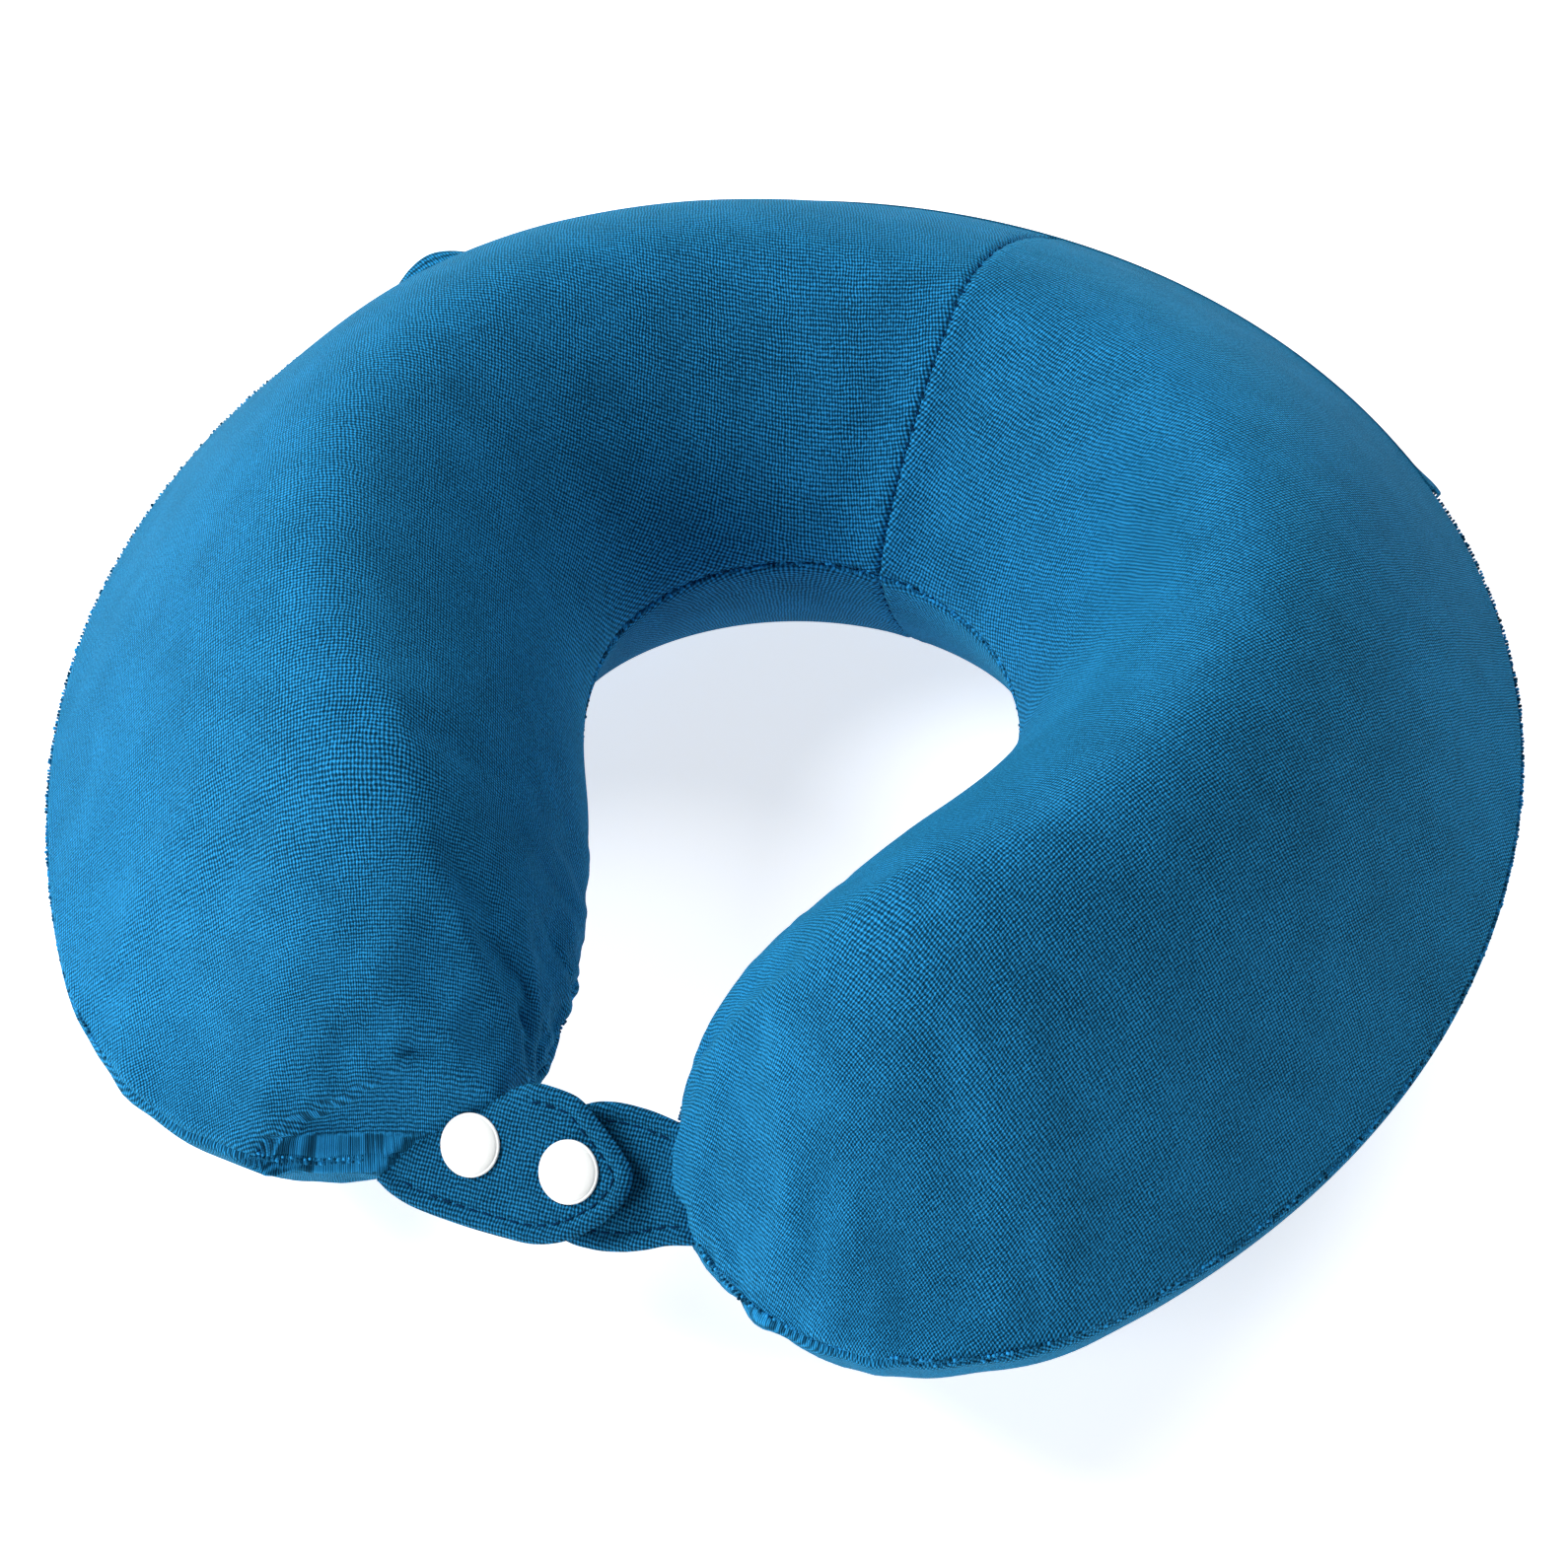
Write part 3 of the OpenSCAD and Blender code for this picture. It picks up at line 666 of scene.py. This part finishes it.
thread = thread_material()
snap_white = plastic_material("snap_white", (0.74, 0.75, 0.74), 0.22, coat=0.5)
nylon_black = plastic_material("zip_nylon", (0.012, 0.012, 0.014), 0.42, 0.2)
slider_black = plastic_material("zip_slider_finish", (0.01, 0.01, 0.011), 0.3, 0.2, coat=0.4)
tape_black = tape_material()
foam_cream = foam_material()


def finish_piece(obj, material, body="pillow", replaced=()):
    """Gives a piece its material and its body, and hides the CAD nodes that it stands for."""
    obj.data.materials.clear()
    obj.data.materials.append(material)
    if body:
        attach(obj, body)
    if replaced:
        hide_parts(*replaced)
    return obj


# ---- pillow
for side, is_left in (("left", True), ("right", False)):
    for level, is_up in (("top", True), ("under", False)):
        node = f"cover_{'top' if is_up else 'bottom'}_{side}"
        panel = build_panel(f"{level}_panel_{side}", is_left, is_up)
        finish_piece(panel, knit_top if is_up else knit_under,
                     replaced=[node])


FOAM_INSET = 5.5


def build_foam():
    """The moulded foam block: the pad without its cover, smooth all over."""
    theta = np.linspace(0, 2 * math.pi, 2 * SIM_ACROSS, endpoint=False)
    half = pad_point(sim_rows()[:, None], theta[None, :], FOAM_INSET)
    tube = np.concatenate([half[:0:-1] * MIRROR, half])
    faces = grid_faces(len(tube), len(theta), wrap=True)
    obj = new_object("foam_block", to_frame(tube).reshape(-1, 3), faces)
    merge_close(obj)
    obj.modifiers.new("smooth", "SUBSURF").levels = 1
    return obj


foam = finish_piece(build_foam(), foam_cream, replaced=["foam_core"])


# ---- stitches
UP = np.array([0, 0, 1.0])


def capsule(centre, reach, radius, up, sides=6, arch=0.0):
    """Points and faces of a short bent thread that reaches so far from its centre to both its ends."""
    start, end, up = to_frame(centre - reach), to_frame(centre + reach), np.asarray(up, float)
    radius, arch = radius * MM, arch * MM
    line = end - start
    length = np.linalg.norm(line)
    line = line / max(length, 1e-9)
    side = np.cross(line, up)
    side = side / max(np.linalg.norm(side), 1e-9)
    top = np.cross(side, line)
    vertices = []
    for t, scale in ((0.0, 0.2), (0.08, 0.8), (0.3, 1.0), (0.7, 1.0), (0.92, 0.8), (1.0, 0.2)):
        middle_point = start + line * length * t + up * arch * 4 * t * (1 - t)
        for k in range(sides):
            a = 2 * math.pi * k / sides
            vertices.append(middle_point + radius * scale * (side * math.cos(a) + top * math.sin(a)))
    rings = len(vertices) // sides
    return vertices, grid_faces(rings, sides, wrap=True) + end_faces(rings, sides)


def join_parts(name, parts):
    """One object from many parts of points and faces."""
    vertices, faces = [], []
    for points, quads in parts:
        first = len(vertices)
        vertices.extend(points)
        faces.extend([tuple(first + k for k in q) for q in quads])
    return new_object(name, vertices, faces)


def even_places(line, pitch):
    """Places and directions along a line of points, pitch apart."""
    run = run_along(line)
    at = np.arange(pitch / 2, run[-1], pitch)
    place = np.stack([np.interp(at, run, line[:, k]) for k in range(3)], 1)
    ahead = np.stack([np.interp(at + 0.1, run, line[:, k]) for k in range(3)], 1)
    return place, (ahead - place) / np.maximum(np.linalg.norm(ahead - place, axis=1, keepdims=True), 1e-9)


def centre_stitches(depth=0.12, lean=0.3, reach=0.75, radius=0.26):
    """Short threads that cross the groove of the centre seam, over the top and down both ends."""
    theta = np.linspace(0.02, 2 * math.pi - 0.02, 400)
    line = pad_point(np.zeros(len(theta)), theta)
    centre = line.mean(0)
    normal = np.cross(np.array([1.0, 0, 0]), np.gradient(line, axis=0))
    normal /= np.linalg.norm(normal, axis=1, keepdims=True)
    normal *= np.sign(((line - centre) * normal).sum(1, keepdims=True))
    parts = []
    for p, d in zip(*even_places(line - normal * depth, STITCH_PITCH)):
        if p[2] < FLOOR_CLEARANCE - REST_DEPTH:
            continue
        up = np.cross(d, [1.0, 0, 0])
        up *= np.sign(up @ (p - centre))
        parts.append(capsule(p, np.array([reach, 0, 0]) + d * lean, radius, up, arch=0.1))
    return join_parts("centre_seam_stitches", parts)


finish_piece(centre_stitches(), thread)


def seam_line(place, left, count=900):
    """The edge seam of one half: place is 0 for the outer seam and half a turn for the inner one."""
    s = TOTAL * (1 - (1 - np.linspace(0, 1, count)) ** ROW_CROWDING)
    line = pad_point(s, np.full(count, place))
    return line * MIRROR if left else line


def neck_stitches(stand_out=0.12, reach=0.8, radius=0.18):
    """Threads that show in the groove of the seam round the neck opening."""
    parts = []
    for left in (False, True):
        for p, d in zip(*even_places(seam_line(math.pi, left), STITCH_PITCH)):
            q = p + np.cross(d, UP) * (-1 if left else 1) * stand_out
            parts.append(capsule(q, d * reach, radius, UP, sides=5))
    return join_parts("neck_seam_stitches", parts)


finish_piece(neck_stitches(), thread)


PILE_PITCH, PILE_SIZE = 0.9, 0.4


def on_zip_span(p):
    """Whether a place on the outer seam is over the zip."""
    angle = math.degrees(math.atan2(-p[0], p[1]))
    return -ZIP_RIGHT < angle < ZIP_LEFT


def pile_loop(p, d, out, row, rng, stand_out=0.2, stand_up=0.6, lean_out=0.9, disorder=0.3):
    """One loop that leans out of the seam above it or below it, and a place on the knit for its colour."""
    jitter, rise = rng.uniform(-disorder, disorder, 3), UP * stand_up * row
    q = p + out * stand_out + rise + jitter * 0.5
    lean = out * lean_out + rise + jitter
    size = PILE_SIZE * rng.uniform(0.7, 1.2)
    part = capsule(q, lean / np.linalg.norm(lean) * size, size * 0.8, d, sides=5)
    return part, np.tile([*rng.uniform(0, 300, 2), 0], (len(part[0]), 1))


def edge_pile():
    """Loops of the pile that stand up along the edge seam and roughen its outline."""
    rng = np.random.default_rng(71)
    loops = []
    for left, place, row in itertools.product((False, True), (0.0, math.pi), (-1, 1)):
        side = (-1 if place == 0.0 else 1) * (-1 if left else 1)
        for p, d in zip(*even_places(seam_line(place, left), PILE_PITCH)):
            under_flap = place == 0.0 and row == 1 and on_zip_span(p)
            if under_flap or (left and np.linalg.norm(to_tab(p) - CORNER_AT) < CORNER_BARE):
                continue
            loops.append(pile_loop(p, d, np.cross(d, UP) * side, row, rng))
    parts, grain = zip(*loops)
    obj = join_parts("edge_seam_pile", parts)
    set_grain(obj, np.concatenate(grain))
    return obj


finish_piece(edge_pile(), knit_top)


# ---- snap tabs
# Level of the right tab's middle plane under the left one's, and half the thickness of a tab
RIGHT_LEVEL, TAB_FABRIC = -5.95, 1.0
# Distance of the topstitching from a tab's edge, and how far out of the seam a tab starts and ends
# the change from the pillow's motion to its own
HEM, BLEND_FROM, BLEND_TO = 3.6, 0.5, 9.0


def smooth_line(points, count):
    """count places along a smooth line through points, evenly spread by the distance between them."""
    points = np.asarray(points, float)
    run = run_along(points)
    return resample(points, run, np.linspace(0, run[-1], count))


def tab_grid(sides, rows=72, columns=46, crowding=0.7):
    """Places u, w over a tab, filled in between its four sides and closer together by the long ones."""
    lower, upper = smooth_line(sides["lower"], rows + 1), smooth_line(sides["upper"], rows + 1)
    root, end = smooth_line(sides["root"], columns + 1), smooth_line(sides["end"], columns + 1)
    f, even = np.linspace(0, 1, rows + 1)[:, None, None], np.linspace(0, 1, columns + 1)
    v = (1 - np.cos(math.pi * even)) / 2 * crowding + even * (1 - crowding)
    root, end = resample(root, even, v), resample(end, even, v)
    v = v[None, :, None]
    long_way = (1 - v) * lower[:, None] + v * upper[:, None]
    short_way = (1 - f) * root[None] + f * end[None]
    corners = ((1 - f) * ((1 - v) * root[0] + v * root[-1]) + f * ((1 - v) * end[0] + v * end[-1]))
    grid = long_way + short_way - corners
    return grid[..., 0], grid[..., 1]


def rim_of(u, w, first=0):
    """Places along the tab's free edge: a long side, the rounded end and the other long side."""
    grid = np.stack([u, w], -1)
    return np.concatenate([grid[first:, 0], grid[-1, 1:-1], grid[first:, -1][::-1]])


def nearest(u, w, places):
    """Distance of each grid point from the nearest of some places."""
    return np.sqrt(((u[..., None] - places[:, 0]) ** 2 + (w[..., None] - places[:, 1]) ** 2).min(-1))


def edge_distance(u, w):
    rim = rim_of(u, w)
    fine = np.concatenate([rim[:-1] + (rim[1:] - rim[:-1]) * t for t in (0.0, 0.25, 0.5, 0.75)])
    return nearest(u, w, fine)


# A layer's face: width of the rolled edge, and height, reach and place of the puff behind it
EDGE_ROLL, PUFF = 1.5, (0.35, 1.1, 1.7)
# Depth and half width of the stitched line, and depth, reach and radius of a snap's dent
STITCH_LINE, SNAP_DENT = (0.5, 0.55), (0.175, 1.6, 6.4)
# Height of the ripples and their radians per millimetre along and across the tab
RIPPLE, RIPPLE_ALONG, RIPPLE_ACROSS = 0.18, 0.55, 0.42
# Distance of each layer's back from the middle plane
LAYER_GAP = 0.02


def tab_height(u, w, d, up, snaps, phase):
    """How far a layer's outer face stands off the tab's middle plane."""
    roll = np.sqrt(np.clip(1 - (1 - np.clip(d / EDGE_ROLL, 0, 1)) ** 2, 0, 1))
    puff, line = PUFF[0] * bell(d, *PUFF[1:]), STITCH_LINE[0] * bell(d, STITCH_LINE[1], HEM)
    press = sum(bell(np.clip(np.hypot(u - x, w) - SNAP_DENT[2], 0, None), SNAP_DENT[1]) for x in snaps)
    ripple = RIPPLE * np.sin(u * RIPPLE_ALONG + phase) * np.sin(w * RIPPLE_ACROSS + 2 * phase)
    ripple = ripple * np.clip(d / 5, 0, 1)
    return TAB_FABRIC * roll + puff * roll - line - press * SNAP_DENT[0] + ripple * (1 if up else -1)


def tab_layer(name, sides, is_left, level, up, snaps):
    """One of a tab's two layers: its face, its hidden back and the edge between them."""
    u, w = tab_grid(sides)
    d = edge_distance(u, w)
    level = level + tab_sag(nearest(u, w, np.stack([u[0], w[0]], 1)))
    sign = 1 if up else -1
    skin = np.stack([u, w, level + sign * tab_height(u, w, d, up, snaps, 1.3 if is_left else 2.1)], -1)
    back = np.stack([u, w, level + sign * LAYER_GAP], -1)
    rows, columns = u.shape
    flip = is_left == up
    vertices = np.concatenate([skin.reshape(-1, 3), back.reshape(-1, 3)])
    count = rows * columns
    faces = grid_faces(rows, columns, flip=flip)
    faces += [tuple(count + k for k in reversed(q)) for q in faces]
    index = np.arange(count).reshape(rows, columns)
    edge = [*index[:, 0].tolist(), *index[-1, 1:].tolist(), *index[-2::-1, -1].tolist(),
            *index[0, -2:0:-1].tolist()]
    for a, b in zip(edge, edge[1:] + edge[:1]):
        quad = (a, b, count + b, count + a)
        faces.append(quad if not flip else quad[::-1])
    obj = new_object(name, tab_to_frame(vertices), faces)
    grain = np.stack([u, w, 0 * u], -1).reshape(-1, 3)
    set_grain(obj, np.concatenate([grain, grain]))
    return obj


def tab_sag(off_root):
    """The tab dips into the seam at its root."""
    return -1.3 * np.exp(-(off_root / 2.2) ** 2)


def blend_root(obj, sides):
    """Bakes the piece's transform into its mesh."""
    grid = np.stack(tab_grid(sides), -1)
    root, tip = grid[0, grid.shape[1] // 2], grid[-1, grid.shape[1] // 2]
    along_root = grid[0, -1] - grid[0, 0]
    out = np.array([along_root[1], -along_root[0]]) / np.linalg.norm(along_root)
    out *= np.sign((tip - root) @ out)
    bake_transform(obj)


LEFT_SNAPS, RIGHT_SNAPS = (0.0, -21.0), (0.0,)
# Each layer's piece, the CAD node it stands for, and whether it is its tab's upper one
tabs = (
    ("left_tab_top", "left_tab_face", True), ("left_tab_back", "left_tab_lining", False),
    ("right_tab_top", "right_tab_lining", True), ("right_tab_back", "right_tab_face", False),
)
for name, node, up in tabs:
    is_left = name.startswith("left")
    side, sides = ("left", LEFT_TAB) if is_left else ("right", RIGHT_TAB)
    level, snaps = (0.0, LEFT_SNAPS) if is_left else (RIGHT_LEVEL, RIGHT_SNAPS)
    layer = tab_layer(name, sides, is_left, level, up, snaps)
    finish_piece(layer, knit_tab, body=None, replaced=[node])
    blend_root(layer, sides)


def tab_stitches(name, sides, level, first_row=8, passes=12, pitch=2.9, reach=1.05, sink=0.32):
    """Topstitching round a tab, a hem's width in from its edge, on both faces."""
    rim = rim_of(*tab_grid(sides), first=first_row)
    inward = np.stack([-np.gradient(rim[:, 1]), np.gradient(rim[:, 0])], 1)
    inward /= np.linalg.norm(inward, axis=1, keepdims=True)
    inward *= np.sign(((rim.mean(0) - rim) * inward).sum(1, keepdims=True))
    line = rim + inward * HEM
    for _ in range(passes):
        line[1:-1] = (line[:-2] + 2 * line[1:-1] + line[2:]) / 4
    parts = []
    for up in (True, False):
        sign = 1 if up else -1
        outward_axis = TAB_MATRIX @ (UP * sign)
        sag = tab_sag(np.hypot(line[:, 0] - sides["root"][2][0], line[:, 1] - sides["root"][2][1]))
        path = np.stack([line[:, 0], line[:, 1], level + sag + sign * (TAB_FABRIC - sink)], 1)
        for p, d in zip(*even_places(path, pitch)):
            parts.append(capsule(from_tab(p), TAB_MATRIX @ d * reach, 0.2, outward_axis, arch=0.12))
    obj = join_parts(name, parts)
    finish_piece(obj, thread, body=None)
    blend_root(obj, sides)


tab_stitches("left_tab_stitches", LEFT_TAB, 0.0)
tab_stitches("right_tab_stitches", RIGHT_TAB, RIGHT_LEVEL)


# ---- snaps
CAP_RADIUS, CAP_HEIGHT, CAP_RIM, CAP_LIFT = 6.2, 1.75, 0.45, 0.95


def lathe(profile, place, flip=1.0, sides=64):
    """Turns a profile of (radius, height) about the tab's normal at place (u, w, level)."""
    turn = np.linspace(0, 2 * math.pi, sides, endpoint=False)
    points = [(place[0] + r * math.cos(a), place[1] + r * math.sin(a), place[2] + flip * h)
              for r, h in profile for a in turn]
    faces = grid_faces(len(profile), sides, wrap=True, flip=flip > 0)
    faces += [e if flip < 0 else e[::-1] for e in end_faces(len(profile), sides)]
    return tab_to_frame(points), faces


def cap_profile():
    """A shallow dome with a rolled rim and a small moulding step round it."""
    dome = [(CAP_RADIUS * math.sin(a) * 0.93, CAP_RIM + (CAP_HEIGHT - CAP_RIM) * math.cos(a) ** 0.9)
            for a in np.linspace(0.02, math.pi / 2 * 0.93, 16)]
    rim = [(CAP_RADIUS - 0.3 + 0.3 * math.cos(a), CAP_RIM * 0.75 + 0.34 * math.sin(a))
           for a in np.linspace(math.pi / 2, -math.pi / 2, 8)]
    return dome + rim + [(CAP_RADIUS - 0.9, 0.0), (1.0, 0.0), (1.0, -2.6)]


def snap_cap(name, node, u, level, flip, body):
    """A cap at the place u along its tab, on its upper face (flip 1) or under it (flip -1)."""
    obj = join_parts(name, [lathe(cap_profile(), (u, 0.0, level), flip)])
    finish_piece(obj, snap_white, body, [node])


snap_cap("cap_near_tip", "snap_cap_near_tip", LEFT_SNAPS[0], CAP_LIFT, 1.0, "left_tab")
snap_cap("cap_near_root", "snap_cap_near_root", LEFT_SNAPS[1], CAP_LIFT, 1.0, "left_tab")
snap_cap("cap_under_right_tab", "snap_stud_cap", 0.0, RIGHT_LEVEL - CAP_LIFT, -1.0, "right_tab")


def soften(node, width, material):
    """A CAD node keeps its shape and gets small rounded edges and its own finish."""
    obj = frame["nodes"][node]
    bevel = obj.modifiers.new("soft_edges", "BEVEL")
    bevel.width, bevel.segments, bevel.limit_method = width * MM, 3, "ANGLE"
    obj.data.materials.clear()
    obj.data.materials.append(material)


for nodes, width, material, slot in (
        (("snap_socket_near_tip", "snap_socket_near_root", "snap_stud"), 0.15, snap_white, "snap_white"),
        (("zip_slider_body", "zip_pull_tab"), 0.18, slider_black, "zip_slider_finish"),
        (("zip_top_stops", "zip_bottom_stop"), 0.12, nylon_black, "zip_nylon"),
        (("zip_tape_upper", "zip_tape_lower"), 0.05, tape_black, "zip_tape")):
    for node in nodes:
        soften(node, width, material)


# ---- zip: flaps and coils
# The zip's line is this far in from the edge seam, where the cover leans out by this angle
ZIP_IN = OUTER_HALF[0] / UNDER_CURVE[0] * (ZIP_DROP / BELLY) ** UNDER_CURVE[1]
ZIP_LEAN = math.atan(OUTER_HALF[0] / BELLY * UNDER_CURVE[1] / UNDER_CURVE[0]
                     * (ZIP_DROP / BELLY) ** (UNDER_CURVE[1] - 1))
# Sections of the two flaps beside the zip: out from the cover, and up from the zip's own line
UPPER_FLAP = ((-1.0, 7.2), (-0.2, 6.4), (0.5, 5.8), (1.2, 5.1), (1.8, 4.4), (2.2, 3.8), (2.15, 3.3),
              (1.8, 3.1), (1.5, 3.5), (1.2, 4.0), (0.7, 4.5), (0.1, 5.0), (-0.6, 5.5), (-1.4, 6.4))
LOWER_FLAP = ((-0.2, -7.2), (0.7, -6.7), (1.5, -6.0), (2.1, -5.2), (2.5, -4.4), (2.5, -3.8), (2.3, -3.4),
              (1.9, -3.3), (1.5, -3.6), (1.3, -4.2), (1.1, -4.9), (0.5, -5.6), (-0.2, -6.1))
# The upper flap swells over the closed slider, about this angle, and a little at its other end
GARAGE_AT, GARAGE_REACH, GARAGE_SWELL = 53.2, 4.0, 5.0
END_REACH, END_SWELL = 2.2, 0.8
TOOTH_PITCH, TOOTH_RADIUS = 1.5, 0.4


def on_zip(angle, out, up):
    """Pad coordinates of a place beside the zip line, at a compass angle left of the back centre."""
    out, up, angle = np.asarray(out, float), np.asarray(up, float), np.radians(angle)
    r = SEAM_RADIUS - ZIP_IN + out * math.cos(ZIP_LEAN) + up * math.sin(ZIP_LEAN)
    z = -ZIP_DROP - out * math.sin(ZIP_LEAN) + up * math.cos(ZIP_LEAN)
    return np.stack([-r * np.sin(angle), r * np.cos(angle), z + 0 * r], -1)


def zip_flap(name, section, seed, garage, end_swell, rows=260, columns=26, wave_height=0.16):
    """A soft folded strip of cover fabric along one side of the zip."""
    section = smooth_line(section, columns)
    angles = np.linspace(-ZIP_RIGHT - 0.4, ZIP_LEFT, rows)
    wave = smooth_noise(rows, knots=60, seed=seed) * wave_height
    swell = garage * bell(angles, GARAGE_REACH, GARAGE_AT) + wave
    swell = swell + end_swell * bell(angles, END_REACH, -ZIP_RIGHT)
    # The lip by the teeth swells fully and the edge by the cover stays
    lip = np.clip((section[:, 0] + 0.6) / 2.4, 0, 1)
    out = section[None, :, 0] + swell[:, None] * lip
    up = section[None, :, 1] + 0.8 * swell[:, None] * lip
    points = on_zip(angles[:, None], out, up)
    faces = grid_faces(rows, columns, wrap=True) + end_faces(rows, columns)
    obj = new_object(name, to_frame(points).reshape(-1, 3), faces)
    run = run_along(section)
    grain = np.stack(np.broadcast_arrays(np.radians(angles)[:, None] * SEAM_RADIUS, run[None, :], 0.0), -1)
    set_grain(obj, grain.reshape(-1, 3))
    return obj


finish_piece(zip_flap("zip_flap_upper", UPPER_FLAP, 5, GARAGE_SWELL, END_SWELL), knit_top,
             replaced=["zip_placket_upper"])
finish_piece(zip_flap("zip_flap_lower", LOWER_FLAP, 6, 0.0, 0.0), knit_under,
             replaced=["zip_placket_lower"])


def zip_coil(name, side):
    """A coil's turns, each a short bent thread that hooks over the middle of the zip."""
    step = math.degrees(TOOTH_PITCH / SEAM_RADIUS)
    parts = []
    first = -ZIP_RIGHT + step * (0.25 if side > 0 else 0.75)
    for angle in np.arange(first, ZIP_LEFT - 0.6, step):
        start, end = on_zip(angle, 1.6, -side * 0.35), on_zip(angle + step * 0.2, 1.4, side * 1.95)
        up = on_zip(angle, 2.0, 0.0) - on_zip(angle, 1.0, 0.0)
        parts.append(capsule((start + end) / 2, (end - start) / 2, TOOTH_RADIUS, up, arch=0.15))
    return join_parts(name, parts)


finish_piece(zip_coil("zip_teeth_upper", 1), nylon_black, replaced=["zip_coil_upper"])
finish_piece(zip_coil("zip_teeth_lower", -1), nylon_black, replaced=["zip_coil_lower"])


# ---- floor, light and camera
# In metres
FLOOR_SIZE, LAMP_DISTANCE, LAMP_SIZE = 6.0, 1.6, 0.8


def build_floor():
    """A plain pale floor under and all round the pillow."""
    half = FLOOR_SIZE / 2
    floor = new_object("floor", [(-half, -half, 0), (half, -half, 0), (half, half, 0), (-half, half, 0)],
                       [(0, 1, 2, 3)], smooth=False)
    n = Nodes("floor")
    cloud = n.noise(n.place(), 6.0)
    tone = n.ramp(cloud, [(0.3, (0.88, 0.88, 0.88, 1)), (0.7, (0.92, 0.92, 0.92, 1))])
    floor.data.materials.append(n.finish(tone, 0.9, Emission_Color=(1, 1, 1, 1), Emission_Strength=0.7))


build_floor()


def area_light(name, azimuth, elevation, power):
    """A soft round light aimed at the pillow, at an angle from +X round Z and an angle up."""
    a, e = math.radians(azimuth), math.radians(elevation)
    place = Vector((math.cos(a) * math.cos(e), math.sin(a) * math.cos(e), math.sin(e))) * LAMP_DISTANCE
    data = bpy.data.lights.new(name, "AREA")
    data.shape, data.size, data.energy = "DISK", LAMP_SIZE, power
    light = bpy.data.objects.new(name, data)
    light.location = place
    light.rotation_euler = (-place).to_track_quat("-Z", "Y").to_euler()
    bpy.context.scene.collection.objects.link(light)


area_light("key", 200, 48, 28)
area_light("low", 247, 22, 12)
area_light("back", 67, 50, 12)

world = bpy.data.worlds.new("studio")
world.use_nodes = True
background = world.node_tree.nodes["Background"]
background.inputs["Color"].default_value = (1, 1, 1, 1)
background.inputs["Strength"].default_value = 0.06
bpy.context.scene.world = world
bpy.context.scene.view_settings.view_transform = "Standard"

# The camera as fitted to the photo's outline and seams: degrees and, from the pad's centre, millimetres
CAMERA_AZIMUTH, CAMERA_ELEVATION, CAMERA_ROLL = 22.386, 50.780, -0.279
CAMERA_DISTANCE, FIELD_OF_VIEW = 1478.1, 12.055
ASIDE, ABOVE = -2.998, -11.096


def build_camera():
    """The photo's camera, with a lens from the field of view."""
    a, e, r = (math.radians(v) for v in (CAMERA_AZIMUTH, CAMERA_ELEVATION, CAMERA_ROLL))
    back = np.array([math.sin(a) * math.cos(e), -math.cos(a) * math.cos(e), math.sin(e)])
    right = np.array([math.cos(a), math.sin(a), 0.0])
    up = np.cross(back, right)
    place = to_frame(back * CAMERA_DISTANCE + right * ASIDE + up * ABOVE)
    rolled_right = right * math.cos(r) + up * math.sin(r)
    rolled_up = up * math.cos(r) - right * math.sin(r)
    data = bpy.data.cameras.new("camera")
    data.lens = data.sensor_width / 2 / math.tan(math.radians(FIELD_OF_VIEW / 2))
    camera = bpy.data.objects.new("camera", data)
    matrix = np.eye(4)
    matrix[:3, 0], matrix[:3, 1], matrix[:3, 2], matrix[:3, 3] = rolled_right, rolled_up, back, place
    camera.matrix_world = Matrix(matrix.tolist())
    bpy.context.scene.collection.objects.link(camera)
    bpy.context.scene.camera = camera


build_camera()
